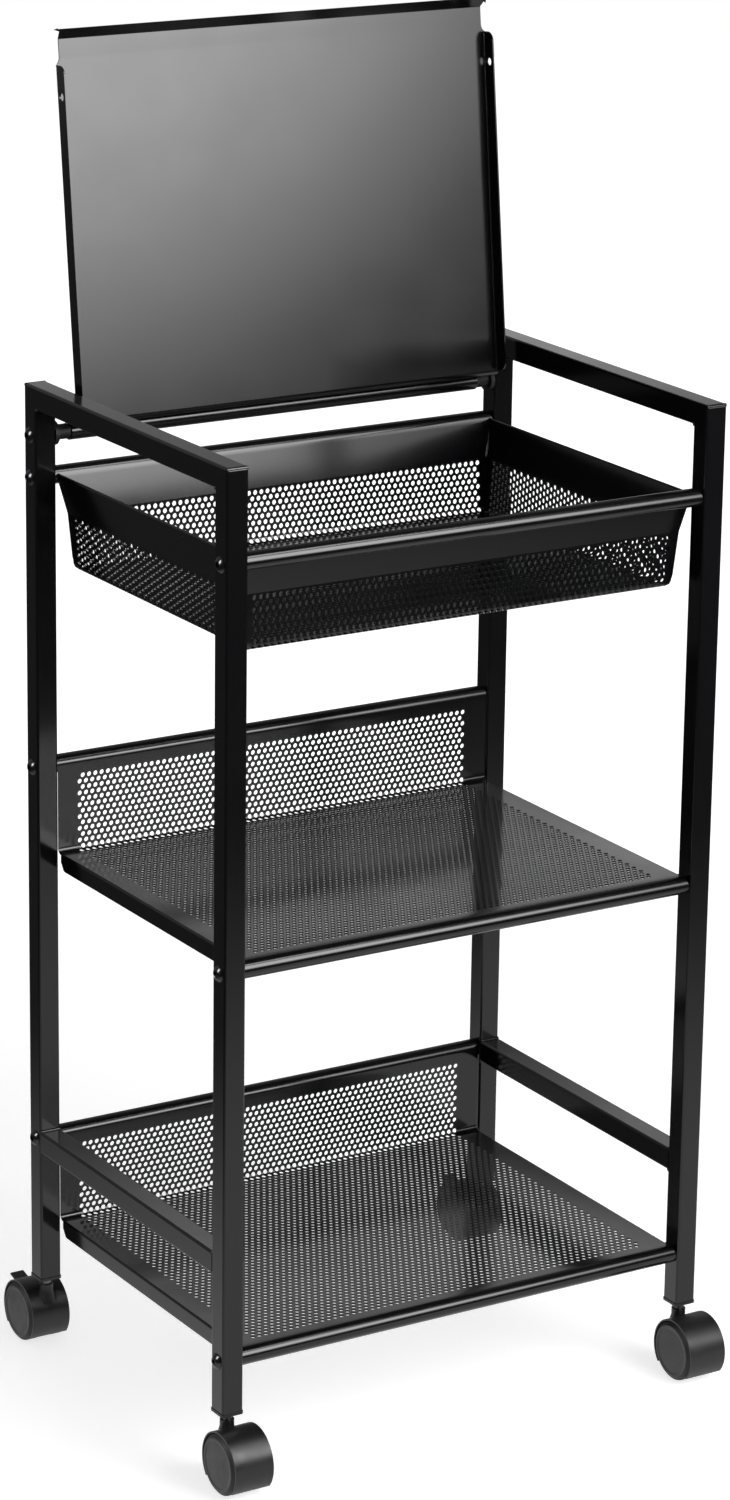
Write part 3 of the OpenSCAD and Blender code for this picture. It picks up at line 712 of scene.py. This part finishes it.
def flat_side_wall():
    """The right wall, flat, with its rows along X."""
    inner = PITCH * FLOOR_HOLES / 2
    outer = inner + PITCH * WALL_COLUMNS
    wide = (FIELD_ROWS + 0.5) * ROW

    def hole(row, x):
        spare = PITCH / 4 if row % 2 else -PITCH / 4
        return inner - spare < x < outer + spare

    def foot(x, y):
        """The first hole's edge at each end lies where the bend begins."""
        if abs(x - inner) < 0.02 and abs(abs(y) - wide) < 0.02:
            return SIDE_START, y
        return None

    def side(x, y):
        """The wall runs out to the leaning end walls."""
        if abs(y) > wide + 0.5:
            return x, copysign(side_edge(SIDE_PATH(x)[1]), y)
        return None

    wall = punched("side_wall", 12, -FIELD_ROWS, FIELD_ROWS, (0, 0), outer + PITCH / 2, hole)
    edit(wall, "EDGE")
    line = outer + PITCH / 2
    grow(0, outer, line)
    merge()
    for count, mark in enumerate((SIDE_MARKS[2], SIDE_MARKS[3], SIDE_MARKS[4] - 1, SIDE_MARKS[4])):
        grow(0, line, mark, keep=(-wide, wide) if count == 0 else None)
        line = mark
    for step in range(6):
        grow(0, line, line + HEM_TURN_L / 6)
        line += HEM_TURN_L / 6
    grow(0, line, SIDE_MARKS[6])
    reshape(foot)
    for way in (-1, 1):
        grow(1, way * wide, way * (wide + OVERHANG), SIDE_START)
    reshape(side)
    merge()
    clear()
    return wall


def basket():
    made = []
    floor = flat_basket_floor()
    moved(floor, lambda x, y, z: (x, y, BASKET_FLOOR))
    face_out(floor, ((0, 0, BASKET_FLOOR), (0, 0, 1)))
    made.append(floor)

    rear = flat_end_wall()
    front = copied(rear, "basket_front_wall")
    rear.name = rear.data.name = "basket_rear_wall"
    for piece, side in ((rear, 1), (front, -1)):
        moved(piece, lambda x, y, z, side=side: (x, side * END_PATH(y)[0], END_PATH(y)[1]))
        face_out(piece, ((0, side * 119, 605), (0, -side, 0)))
        made.append(piece)

    right = flat_side_wall()
    left = copied(right, "basket_left_wall")
    right.name = right.data.name = "basket_right_wall"
    for piece, side in ((right, 1), (left, -1)):
        moved(piece, lambda x, y, z, side=side: (side * SIDE_PATH(x)[0], y, SIDE_PATH(x)[1]))
        face_out(piece, ((side * 169, 0, 605), (-side, 0, 0)))
        made.append(piece)

    for piece in made:
        thicken(piece)
        smooth(piece)
        even_faces(piece)
        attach(piece, "frame")
        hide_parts("basket")
    return made


# Lid

PIVOT_Z = 673.9
LID_LEAN = 6.5
LID_X = 170.5
LID_OFFSET = 25.0
LID_L = 266.5
LID_ROLL_X = 164.5
LID_BEND = 4.0
LID_FOLD = 1.0
LID_FLANGE = 11.0
# The flanges end at this height of the lid, with corners of this radius
FLANGE_TOP = 249
LID_CORNER = 7
# Hole in each flange: its place from the hinge's axis, and its radius
LID_HOLE_Y, LID_HOLE_Z, LID_HOLE_R = -30.5, 228, 2.75
# The lip, past the notches that end the flanges
LIP_X = 167.5
LIP_TIP_X = 169.0
LIP_R = 0.6
LIP_L = 6 * sqrt(2)
LIP_CORNER = 3
# Curve from the flange's fold into the notch, as (height, half width)
NOTCH = ((249.3, 169.95), (250.2, 169.0), (251.3, 168.25), (252.7, 167.7), (254.2, LIP_X))


def lid():
    """The lid, drawn flat from its panel outwards, then folded and hung on its hinge."""
    inner = ROLL - SHEET
    wall = LID_OFFSET - LID_BEND
    bend = bend_flat(LID_BEND - SHEET, 90)
    foot = wall + bend
    cut = LIP_R * tan(radians(22.5))
    fold = bend_flat(LID_FOLD, 90)
    lip_fold = bend_flat(LIP_R, 45)
    panel = LID_L - cut - inner - LID_BEND
    fold_x = LID_X - SHEET - LID_FOLD
    rising = folded((0, inner), 180, [
        (wall, 0, 0), (bend, LID_BEND, -90), (panel, 0, 0), (lip_fold, LIP_R, 45), (LIP_L, 0, 0)])
    rolling = folded((0, inner), 0, [(ROLL_L, inner, -ROLL_TURN)])

    def flat_at(z):
        return foot + z - inner - LID_BEND

    flange_end = flat_at(FLANGE_TOP)
    bpy.ops.mesh.primitive_plane_add(size=2 * MM)
    tray = named("lid_tray")
    moved(tray, lambda x, y, z: (x * fold_x, foot if y < 0 else flange_end, 0))
    edit(tray, "EDGE")

    def strip(at, to, half):
        grow(1, at, to, -fold_x - 3, fold_x + 3)
        reshape(lambda x, y: (copysign(half, x), y) if abs(y - to) < 0.005 else None)

    # Side flanges, with their round corners
    for side in (-1, 1):
        at = side * fold_x
        for step in range(4):
            grow(0, at, at + side * fold / 4)
            at += side * fold / 4
        grow(0, at, at + side * (LID_FLANGE - LID_FOLD))
    rounded(lambda x, y: abs(x) > fold_x + fold + 5, LID_CORNER, 7)

    # Down over the bend to the hinge roll
    line = foot
    widths = [(foot - 0.2 - (bend - 0.2) * step / 6, LID_X) for step in range(7)]
    for to, half in widths + [(ROLL, LID_X), (ROLL - 0.2, LID_ROLL_X), (0, LID_ROLL_X)]:
        strip(line, to, half)
        line = to
    roll_out(0, -1)

    # Up past the notches to the lip
    line = flange_end
    for z, half in NOTCH + ((LID_L - cut - 0.4, LIP_X), (LID_L - cut, LIP_X)):
        strip(line, flat_at(z), half)
        line = flat_at(z)
    for step in range(4):
        strip(line, line + lip_fold / 4, LIP_X)
        line += lip_fold / 4
    strip(line, line + LIP_L - cut, LIP_TIP_X)
    line += LIP_L - cut
    rounded(lambda x, y: abs(y - line) < 0.01, LIP_CORNER, 5)
    merge()
    clear()

    def place(x, length, z):
        y, up = rising(length) if length >= 0 else rolling(-length)
        past = abs(x) - fold_x
        if past > 0 and foot - 0.1 <= length <= flange_end + 0.1:
            angle = min(past / fold, 1) * pi / 2
            out = fold_x + LID_FOLD * sin(angle)
            return copysign(out, x), y - LID_FOLD * (1 - cos(angle)) - max(0, past - fold), up
        return x, y, up

    def hung(x, y, z):
        """Leans the lid back on its hinge."""
        lean = radians(LID_LEAN)
        return x, LEG_Y + y * cos(lean) + z * sin(lean), PIVOT_Z + z * cos(lean) - y * sin(lean)

    moved(tray, place)
    face_out(tray, ((0, -LID_OFFSET, 130), (0, -1, 0)))
    thicken(tray)
    # The holes in the flanges
    for side in (-1, 1):
        bpy.ops.mesh.primitive_cylinder_add(
            vertices=32, radius=LID_HOLE_R * MM, depth=4 * SHEET * MM, rotation=(0, pi / 2, 0),
            location=(side * (LID_X - SHEET / 2) * MM, LID_HOLE_Y * MM, LID_HOLE_Z * MM))
        drill = named("drill")
        bore = tray.modifiers.new("hole", "BOOLEAN")
        bore.operation = "DIFFERENCE"
        bore.object = drill
        bore.solver = "EXACT"
        apply_all(tray)
        only(drill)
        bpy.ops.object.delete()
    edges = tray.modifiers.new("edges", "BEVEL")
    edges.width = 0.2 * MM
    edges.segments = 2
    edges.limit_method = "ANGLE"
    edges.angle_limit = radians(65)
    apply_all(tray)
    moved(tray, hung)
    smooth(tray)
    even_faces(tray)
    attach(tray, "lid")
    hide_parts("lid")
    return tray


# Hardware

HEAD_R = 5.75
HEAD_H = 3.3
SHANK_R = 3.0
SOCKET_R = 2.3
SHEET_SCREW_L = 30
LID_SCREW_L = 43.5


def one_screw(name, length):
    """A button head screw along Z, its head's underside at 0."""
    ball = (HEAD_R ** 2 + HEAD_H ** 2) / (2 * HEAD_H)
    centre = HEAD_H - ball
    rings = [(0, -length), (SHANK_R - 0.7, -length), (SHANK_R, -length + 0.8), (SHANK_R, -0.02),
             (HEAD_R - 0.25, 0), (HEAD_R, 0.2)]
    first, last = asin((HEAD_R - 0.03) / ball), asin((SOCKET_R + 0.45) / ball)
    for step in range(8):
        angle = first + (last - first) * step / 7
        rings.append((ball * sin(angle), centre + ball * cos(angle)))
    top = rings[-1][1]
    rings += [(SOCKET_R + 0.2, top + 0.03, True), (SOCKET_R, top - 0.15, True)]
    rings += [(SOCKET_R, 1.3, True), (0, 1.0)]
    return turned(name, 36, rings)


def screw_sets():
    """The screws of each sheet piece and of the lid, through the legs."""
    made = []
    for name, length, places in (
            ("basket_screws", SHEET_SCREW_L, ((-1, AXIS), (1, AXIS))),
            ("middle_shelf_screws", SHEET_SCREW_L, ((-1, MIDDLE_H - ROLL), (1, MIDDLE_H + UPSTAND - ROLL))),
            ("bottom_shelf_screws", SHEET_SCREW_L, ((-1, BOTTOM_H - ROLL), (1, BOTTOM_H + UPSTAND - ROLL))),
            ("lid_screws", LID_SCREW_L, ((1, PIVOT_Z),))):
        pieces = []
        for end, height in places:
            for side in (-1, 1):
                piece = one_screw("screw", length)
                # Each socket stands at its own angle, as tightened
                turn = 0.7 * height + 1.9 * side + end

                def stand(x, y, z, side=side, end=end, height=height, turn=turn):
                    across, upward = x * cos(turn) - y * sin(turn), x * sin(turn) + y * cos(turn)
                    return side * (LEG_X + TUBE / 2 + z), end * LEG_Y + across, height + upward
                moved(piece, stand)
                pieces.append(piece)
        piece = joined(pieces, name + "_turned")
        face_out(piece)
        smooth(piece, 35)
        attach(piece, "frame")
        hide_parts(name)
        made.append(piece)
    return made


# Welds

# Radii of the beads, and the length of their ripples
SEAM_BEAD = 0.9
CORNER_BEAD = 1.3
FILLET_BEAD = 1.25
BEAD_STEP = 1.1
# The ground corners stand this far proud of the tubes
PROUD = 0.1


def bead(name, radius, y, z, side, ripple):
    """A run of weld along X across a tube, with the ripples that the arc leaves."""
    count = round(TUBE / BEAD_STEP)
    rings = [(0, 0), (0.7 * radius, 0.15)]
    for step in range(2 * count + 1):
        swell = 1 + ripple * (1 if step % 2 else -1)
        rings.append((radius * swell, 0.3 + (TUBE - 0.6) * step / (2 * count)))
    rings += [(0.7 * radius, TUBE - 0.15), (0, TUBE)]
    piece = turned(name, 14, rings)
    moved(piece, lambda a, b, c: (side * LEG_X - TUBE / 2 + c, y + a, z + b))
    return piece


def welds():
    """Ground welds on the mitres' corners, fillets in the corners of the tubes,
    and the seams of the basket's four corners."""
    beads, seams = [], []
    inner_y, inner_z = LEG_Y - TUBE / 2, FRAME_TOP - TUBE
    inset = CORNER_BEAD - PROUD
    outer_y, outer_z = LEG_Y + TUBE / 2 - inset, FRAME_TOP - inset
    low, high = KINK + 0.5, BASKET_TOP - 3
    rings = [(0, low), (SEAM_BEAD, low + 0.4), (SEAM_BEAD, high - 0.4), (0, high)]
    for side in (-1, 1):
        for end in (-1, 1):
            beads.append(bead("ground", CORNER_BEAD, end * outer_y, outer_z, side, 0.02))
            for height in (inner_z, LOWER_RAIL_TOP, LOWER_RAIL_TOP - TUBE):
                beads.append(bead("fillet", FILLET_BEAD, end * inner_y, height, side, 0.05))
            seam = turned("seam", 12, rings)
            moved(seam, lambda x, y, z: (
                x + side * corner_of(z, SIDE_START, SIDE_KINK, SIDE_LEAN, SIDE_BAND, 0),
                y + end * side_edge(z), z))
            seams.append(seam)
    run = joined(beads, "frame_weld_beads")
    seams = joined(seams, "basket_corner_seams")
    for piece, slot in ((run, "tube_coat"), (seams, "sheet_coat")):
        face_out(piece)
        smooth(piece, 60)
        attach(piece, "frame")
    return [run, seams]


# Casters

WHEEL_R = 21.5
TRAIL = 15
# Places along a wheel's axle, from the middle of its caster
WHEEL_IN = 5.1
TREAD_OUT = 14.7
DISC_X = 16.0
# Radius past which a wheel shows its tread, and its blind bore's radius and end
DISC_EDGE = 18.7
BORE_R, BORE_END = 2.55, 13.0


def paint_tread_shade(wheel, axle, tread):
    """Gives a wheel's tread and its edge a darker material past the disc: painted shade for the deep gap
    under the hood.
    """
    wheel.data.materials.append(tread)
    for face in wheel.data.polygons:
        radius = hypot(face.center.y / MM - axle, face.center.z / MM - WHEEL_R)
        if radius > DISC_EDGE:
            face.material_index = 1


def one_wheel(name):
    """A wheel along Z from its hub face: tread, dished disc and blind bore."""
    return turned(name, 64, [
        (0, BORE_END), (BORE_R, BORE_END), (BORE_R, WHEEL_IN), (5.3, WHEEL_IN), (5.5, WHEEL_IN + 0.2),
        (5.5, 13.9), (5.9, 14.0), (18.1, 14.0), (18.5, 13.7), (18.5, WHEEL_IN + 0.2), (18.7, WHEEL_IN),
        (20.1, WHEEL_IN), (20.8, WHEEL_IN + 0.19), (21.31, WHEEL_IN + 0.7), (WHEEL_R, WHEEL_IN + 1.4),
        (WHEEL_R, TREAD_OUT - 1.4), (21.31, TREAD_OUT - 0.7), (20.8, TREAD_OUT - 0.19), (20.1, TREAD_OUT),
        (19.6, 15.3), (19.25, 15.75), (18.85, 15.97), (18.4, DISC_X), (17.4, DISC_X), (17.0, 15.93),
        (16.6, 15.75), (16.1, 15.62), (15.2, 15.6), (8.0, 15.72), (0, 15.78)])


def casters():
    wheels, hoods, levers = [], [], []
    for side, left in ((-1, "left"), (1, "right")):
        for end, row in ((-1, "front"), (1, "rear")):
            corner = left + "_" + row
            for outer, kind in ((1, "outer"), (-1, "inner")):
                name = f"{corner}_{kind}_wheel"
                piece = one_wheel(name + "_turned")
                way = side * outer
                moved(piece, lambda x, y, z, way=way: (
                    side * LEG_X + way * z, end * (LEG_Y + TRAIL) + y, WHEEL_R + x))
                face_out(piece)
                smooth(piece, 38)
                even_faces(piece)
                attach(piece, name)
                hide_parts(name)
                wheels.append(piece)
            hood = softened(corner + "_hood", corner + "_hood_moulded", 0.35)
            even_faces(hood)
            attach(hood, corner + "_caster")
            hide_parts(corner + "_hood")
            hoods.append(hood)
        lever = softened(left + "_rear_brake_lever", left + "_rear_brake_lever_moulded", 0.3)
        even_faces(lever)
        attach(lever, left + "_rear_brake")
        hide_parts(left + "_rear_brake_lever")
        levers.append(lever)
    return wheels, hoods, levers


# Materials

def linear(colour):
    """Turns an sRGB hex colour to linear."""
    channels = [int(colour[i:i + 2], 16) / 255 for i in (1, 3, 5)]
    return tuple(c / 12.92 if c <= 0.04045 else ((c + 0.055) / 1.055) ** 2.4 for c in channels) + (1.0,)


def add(tree, kind, settings=(), **links):
    """Adds a node with its settings, and links its inputs to other nodes' outputs."""
    node = tree.nodes.new(kind)
    for name, value in dict(settings).items():
        if name in node.inputs:
            node.inputs[name].default_value = value
        else:
            setattr(node, name, value)
    for name, source in links.items():
        tree.links.new(source, node.inputs[name.replace("_", " ")])
    return node


def finish_of(name, colour, roughness, metallic=0.0, ior=1.5):
    """A new material with its shader, its tree and its Object coordinates."""
    material = bpy.data.materials.new(name)
    material.use_nodes = True
    tree = material.node_tree
    shader = tree.nodes["Principled BSDF"]
    shader.inputs["Base Color"].default_value = linear(colour)
    shader.inputs["Roughness"].default_value = roughness
    shader.inputs["Metallic"].default_value = metallic
    if not metallic:
        shader.inputs["IOR"].default_value = ior
    place = add(tree, "ShaderNodeTexCoord").outputs["Object"]
    return material, tree, shader, place


def dressed(material, *pieces):
    for piece in pieces:
        piece.data.materials.clear()
        piece.data.materials.append(material)


def bumped(tree, shader, height, strength, depth):
    """Bumps a finish by a height, to a depth in millimetres."""
    bump = add(tree, "ShaderNodeBump", {"Strength": strength, "Distance": depth * MM}, Height=height)
    tree.links.new(bump.outputs["Normal"], shader.inputs["Normal"])


def uneven(tree, shader, noise, smoothest, roughest, start=0.3, end=0.7):
    """Lets a noise vary a finish's roughness between two values."""
    gloss = add(tree, "ShaderNodeMapRange", {
        "From Min": start, "From Max": end, "To Min": smoothest, "To Max": roughest},
        Value=noise.outputs["Fac"])
    tree.links.new(gloss.outputs["Result"], shader.inputs["Roughness"])


def powder_coat(name, colour, roughness, peel):
    """Black polyester powder coat, baked on steel: semi-gloss, with the faint
    waviness of orange peel that breaks up its reflections."""
    material, tree, shader, place = finish_of(name, colour, roughness)
    # Orange peel of about 2.5 mm, with a finer skin of 0.6 mm
    waves = add(tree, "ShaderNodeTexNoise", {"Scale": 400.0, "Detail": 2.0, "Roughness": 0.5}, Vector=place)
    skin = add(tree, "ShaderNodeTexNoise", {"Scale": 1600.0, "Detail": 1.0}, Vector=place)
    height = add(tree, "ShaderNodeMix", {"Factor": 0.25}, A=waves.outputs["Fac"], B=skin.outputs["Fac"])
    bumped(tree, shader, height.outputs["Result"], peel, 0.05)
    # Handling leaves the gloss a little uneven over a hand's breadth
    wear = add(tree, "ShaderNodeTexNoise", {"Scale": 14.0, "Detail": 3.0, "Roughness": 0.6}, Vector=place)
    uneven(tree, shader, wear, roughness - 0.02, roughness + 0.03)
    return material


def black_oxide():
    """Alloy steel blackened by oxide and oiled: a dark, glossy metal."""
    material, tree, shader, place = finish_of("oiled black oxide steel", "#454548", 0.22, metallic=1.0)
    # Forging and plating leave a faint 0.4 mm mottle
    mottle = add(tree, "ShaderNodeTexNoise", {"Scale": 2500.0, "Detail": 2.0}, Vector=place)
    uneven(tree, shader, mottle, 0.16, 0.28, 0.0, 1.0)
    return material


def zinc_plate():
    """Dull zinc plate on turned steel: grey metal with fine lathe rings."""
    material, tree, shader, place = finish_of("dull zinc plate", "#6a6b6d", 0.34, metallic=1.0)
    # Lathe rings 0.5 mm apart round the stems
    rings = add(tree, "ShaderNodeTexWave", {
        "wave_type": "BANDS", "bands_direction": "Z", "Scale": 640.0, "Distortion": 0.6}, Vector=place)
    bumped(tree, shader, rings.outputs["Fac"], 0.25, 0.02)
    return material


def moulded_nylon(name, colour, roughness):
    """Nylon moulded in a spark-textured tool: satin, with a fine even grain."""
    material, tree, shader, place = finish_of(name, colour, roughness, ior=1.53)
    # Spark grain of 0.3 mm, and flow marks over a few millimetres
    grain = add(tree, "ShaderNodeTexNoise", {"Scale": 3300.0, "Detail": 2.0}, Vector=place)
    bumped(tree, shader, grain.outputs["Fac"], 0.3, 0.03)
    flow = add(tree, "ShaderNodeTexNoise", {"Scale": 120.0, "Detail": 2.0}, Vector=place)
    uneven(tree, shader, flow, roughness - 0.04, roughness + 0.05)
    return material


shelf_pieces = shelves()
basket_pieces = basket()
lid_piece = lid()
screws = screw_sets()
wheels, hoods, levers = casters()
weld_runs = welds()

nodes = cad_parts


def ending(*ends):
    return [nodes[name] for name in nodes if name.endswith(ends)]


dressed(powder_coat("black semi-gloss powder coat", "#08080a", 0.15, 0.12),
        *ending("_leg", "_rail", "_shelf", "basket"), *shelf_pieces, *basket_pieces, *weld_runs)
dressed(powder_coat("smooth black powder coat of the lid", "#08080a", 0.17, 0.1),
        lid_piece, nodes["lid"])
dressed(black_oxide(), *screws, *ending("_screws"))
dressed(zinc_plate(), *ending("_inserts", "_sleeves", "_stem", "_axle", "_pin"))
dressed(moulded_nylon("moulded black nylon", "#111112", 0.38), *hoods, *levers,
        *ending("_hood", "_lever", "_plug"))
dressed(moulded_nylon("moulded dark grey nylon", "#18181a", 0.42), *wheels, *ending("_wheel"))
# Dull black nylon: the bushings' own colour, and painted shade on the treads where the hood shades them.
black_nylon_and_tread_shade = moulded_nylon("dull black nylon and painted tread shade", "#060606", 0.6)
dressed(black_nylon_and_tread_shade, *ending("_bushings"))
# Painted shade: each tread past the disc takes the dull black nylon, for the deep gap under the hood.
for wheel in wheels:
    paint_tread_shade(wheel, (LEG_Y + TRAIL) * (1 if "_rear_" in wheel.name else -1), black_nylon_and_tread_shade)


# Stage

# Lengths of the studio are in metres
KEY_AT = (0.62, -1.6, 1.28)
KEY_R = 0.88
KEY_SHINE = 10.0
TOP_SHINE = 8.0
LEFT_SHINE = 20.0
# Middle and half size of the band of light behind the cart
PANEL_AT = (1.4, 1.6, 1.1)
PANEL_HALF = (1.2, 0.35)


def of_kind(tree, factor, usual, special):
    """Mixes two shaders by the kind of ray."""
    mixed = add(tree, "ShaderNodeMixShader")
    tree.links.new(factor, mixed.inputs[0])
    tree.links.new(usual, mixed.inputs[1])
    tree.links.new(special, mixed.inputs[2])
    return mixed.outputs["Shader"]


def fading(tree, value, start, end, low, high):
    """A value that goes smoothly from low to high over a range of another one."""
    return add(tree, "ShaderNodeMapRange", {
        "interpolation_type": "SMOOTHSTEP", "From Min": start, "From Max": end,
        "To Min": low, "To Max": high}, Value=value).outputs["Result"]


def distance_from(tree, place, centre, near, far, low, high):
    """A value that goes smoothly from low to high with the distance from a centre."""
    offset = add(tree, "ShaderNodeVectorMath", {"operation": "SUBTRACT"})
    tree.links.new(place, offset.inputs[0])
    offset.inputs[1].default_value = centre
    away = add(tree, "ShaderNodeVectorMath", {"operation": "LENGTH"}, Vector=offset.outputs["Vector"])
    return fading(tree, away.outputs["Value"], near, far, low, high)


def glowing(tree, strength):
    return add(tree, "ShaderNodeEmission", {"Color": (1, 1, 1, 1)}, Strength=strength).outputs["Emission"]


def stage_material(name):
    material = bpy.data.materials.new(name)
    material.use_nodes = True
    material.node_tree.nodes.clear()
    return material, material.node_tree


def studio():
    """A white paper floor: white to the camera but for the cart's shadow, and
    bright to the coat only round the cart, where the light falls."""
    bpy.ops.mesh.primitive_plane_add(size=10)
    floor = named("studio_floor")
    material, tree = stage_material("white paper floor")
    light = add(tree, "ShaderNodeLightPath")
    place = add(tree, "ShaderNodeTexCoord").outputs["Object"]
    paper = add(tree, "ShaderNodeBsdfDiffuse", {"Color": linear("#c4c4c4")}).outputs["BSDF"]
    lit = add(tree, "ShaderNodeAddShader")
    tree.links.new(paper, lit.inputs[0])
    tree.links.new(glowing(tree, distance_from(tree, place, (0, 0, 0), 0.5, 1.6, 0.74, 1.0)), lit.inputs[1])
    mirrored = glowing(tree, distance_from(tree, place, (0.15, -0.25, 0), 0.3, 1.22, 0.9, 0.07))
    rays = add(tree, "ShaderNodeMath", {"operation": "MAXIMUM"})
    tree.links.new(light.outputs["Is Glossy Ray"], rays.inputs[0])
    tree.links.new(light.outputs["Is Transmission Ray"], rays.inputs[1])
    seen = of_kind(tree, rays.outputs["Value"], paper, mirrored)
    seen = of_kind(tree, light.outputs["Is Camera Ray"], seen, lit.outputs["Shader"])
    add(tree, "ShaderNodeOutputMaterial", Surface=seen)
    dressed(material, floor)


def key_light():
    """A round softbox with a soft edge, over the front right."""
    bpy.ops.mesh.primitive_circle_add(vertices=64, radius=KEY_R, fill_type="NGON")
    box = named("key_softbox")
    material, tree = stage_material("softbox cloth")
    place = add(tree, "ShaderNodeTexCoord").outputs["Object"]
    shine = glowing(tree, distance_from(tree, place, KEY_AT, 0.32, KEY_R, KEY_SHINE, 0.0))
    add(tree, "ShaderNodeOutputMaterial", Surface=shine)
    dressed(material, box)
    aim = (Vector((0, 0, 0.5)) - Vector(KEY_AT)).to_track_quat("Z", "Y").to_matrix()
    for vertex in box.data.vertices:
        vertex.co = aim @ vertex.co + Vector(KEY_AT)
    box.visible_camera = False


def product(tree, first, second):
    times = add(tree, "ShaderNodeMath", {"operation": "MULTIPLY"})
    tree.links.new(first, times.inputs[0])
    tree.links.new(second, times.inputs[1])
    return times.outputs["Value"]


def unseen(piece):
    """Keeps a light out of the picture and off the paper: only the coat mirrors it."""
    piece.visible_camera = False
    piece.visible_diffuse = False
    piece.visible_shadow = False


def rear_panel():
    """A long band of light behind the cart, that fades upwards, sooner on its left."""
    bpy.ops.mesh.primitive_plane_add(size=2)
    panel = named("rear_reflector")
    for vertex in panel.data.vertices:
        vertex.co = Vector((PANEL_HALF[0] * vertex.co.x, 0, PANEL_HALF[1] * vertex.co.y)) + Vector(PANEL_AT)
    material, tree = stage_material("rear reflector")
    place = add(tree, "ShaderNodeTexCoord").outputs["Object"]
    axes = add(tree, "ShaderNodeSeparateXYZ", Vector=place)
    slant = add(tree, "ShaderNodeVectorMath", {"operation": "DOT_PRODUCT"}, Vector=place)
    slant.inputs[1].default_value = (-0.12, 0, 1)
    left_end = fading(tree, axes.outputs["X"], 0.25, 0.55, 0.0, 1.0)
    lower_edge = fading(tree, axes.outputs["Z"], 0.87, 0.97, 0.0, 1.0)
    upper_edge = fading(tree, slant.outputs["Value"], 0.93, 1.08, 1.12, 0.04)
    strength = product(tree, left_end, product(tree, lower_edge, upper_edge))
    add(tree, "ShaderNodeOutputMaterial", Surface=glowing(tree, strength))
    dressed(material, panel)
    unseen(panel)


def small_softboxes():
    """One over the front, for the rolled edges, and one on the left, for the screws."""
    for name, centre, target, size, shine in (
            ("top_softbox", (0.6, -1.35, 2.15), (0, 0, 0.5), (0.55, 0.45), TOP_SHINE),
            ("left_softbox", (-1.5, 0.05, 1.25), (-0.2, 0, 0.5), (0.2, 0.4), LEFT_SHINE)):
        bpy.ops.mesh.primitive_plane_add(size=2)
        box = named(name)
        aim = (Vector(target) - Vector(centre)).to_track_quat("Z", "Y").to_matrix()
        for vertex in box.data.vertices:
            vertex.co = aim @ Vector((size[0] * vertex.co.x, size[1] * vertex.co.y, 0)) + Vector(centre)
        material, tree = stage_material(name.replace("_", " ") + " cloth")
        glow = add(tree, "ShaderNodeEmission", {"Color": (1, 1, 1, 1), "Strength": shine})
        add(tree, "ShaderNodeOutputMaterial", Surface=glow.outputs["Emission"])
        dressed(material, box)
        unseen(box)


def surround():
    """White to the camera, and a dim studio to the coat."""
    world = bpy.data.worlds.new("studio")
    bpy.context.scene.world = world
    world.use_nodes = True
    tree = world.node_tree
    tree.nodes.clear()
    light = add(tree, "ShaderNodeLightPath")
    ray = add(tree, "ShaderNodeTexCoord").outputs["Generated"]
    axes = add(tree, "ShaderNodeSeparateXYZ", Vector=ray)
    rear = fading(tree, axes.outputs["Y"], 0.0, 0.9, 0.08, 0.3)
    paint = {"Color": (1, 1, 1, 1)}
    glossy = add(tree, "ShaderNodeBackground", paint, Strength=rear).outputs["Background"]
    diffuse = add(tree, "ShaderNodeBackground", {**paint, "Strength": 0.3}).outputs["Background"]
    white = add(tree, "ShaderNodeBackground", {**paint, "Strength": 1.0}).outputs["Background"]
    seen = of_kind(tree, light.outputs["Is Glossy Ray"], diffuse, glossy)
    seen = of_kind(tree, light.outputs["Is Camera Ray"], seen, white)
    add(tree, "ShaderNodeOutputWorld", Surface=seen)


studio()
surround()
key_light()
rear_panel()
small_softboxes()


# Camera

# The photograph's camera: its place in metres, and its focal length in pixels
CAMERA_AT = (-1.6488, -2.6709, 1.4276)
FOCAL = 4744.14
PICTURE_H = 1500
FILM = 36

azimuth, elevation, roll = radians(31.64), radians(17.2), radians(0.8)
forward = Vector((sin(azimuth) * cos(elevation), cos(azimuth) * cos(elevation), -sin(elevation)))
level = Vector((cos(azimuth), -sin(azimuth), 0))
upright = level.cross(forward)
across = cos(roll) * level + sin(roll) * upright
upwards = cos(roll) * upright - sin(roll) * level
bpy.ops.object.camera_add(location=CAMERA_AT)
camera = bpy.context.active_object
camera.rotation_euler = Matrix((across, upwards, -forward)).transposed().to_euler()
camera.data.lens = FOCAL / PICTURE_H * FILM
camera.data.sensor_width = FILM
bpy.context.scene.camera = camera
bpy.context.scene.view_settings.view_transform = "Standard"
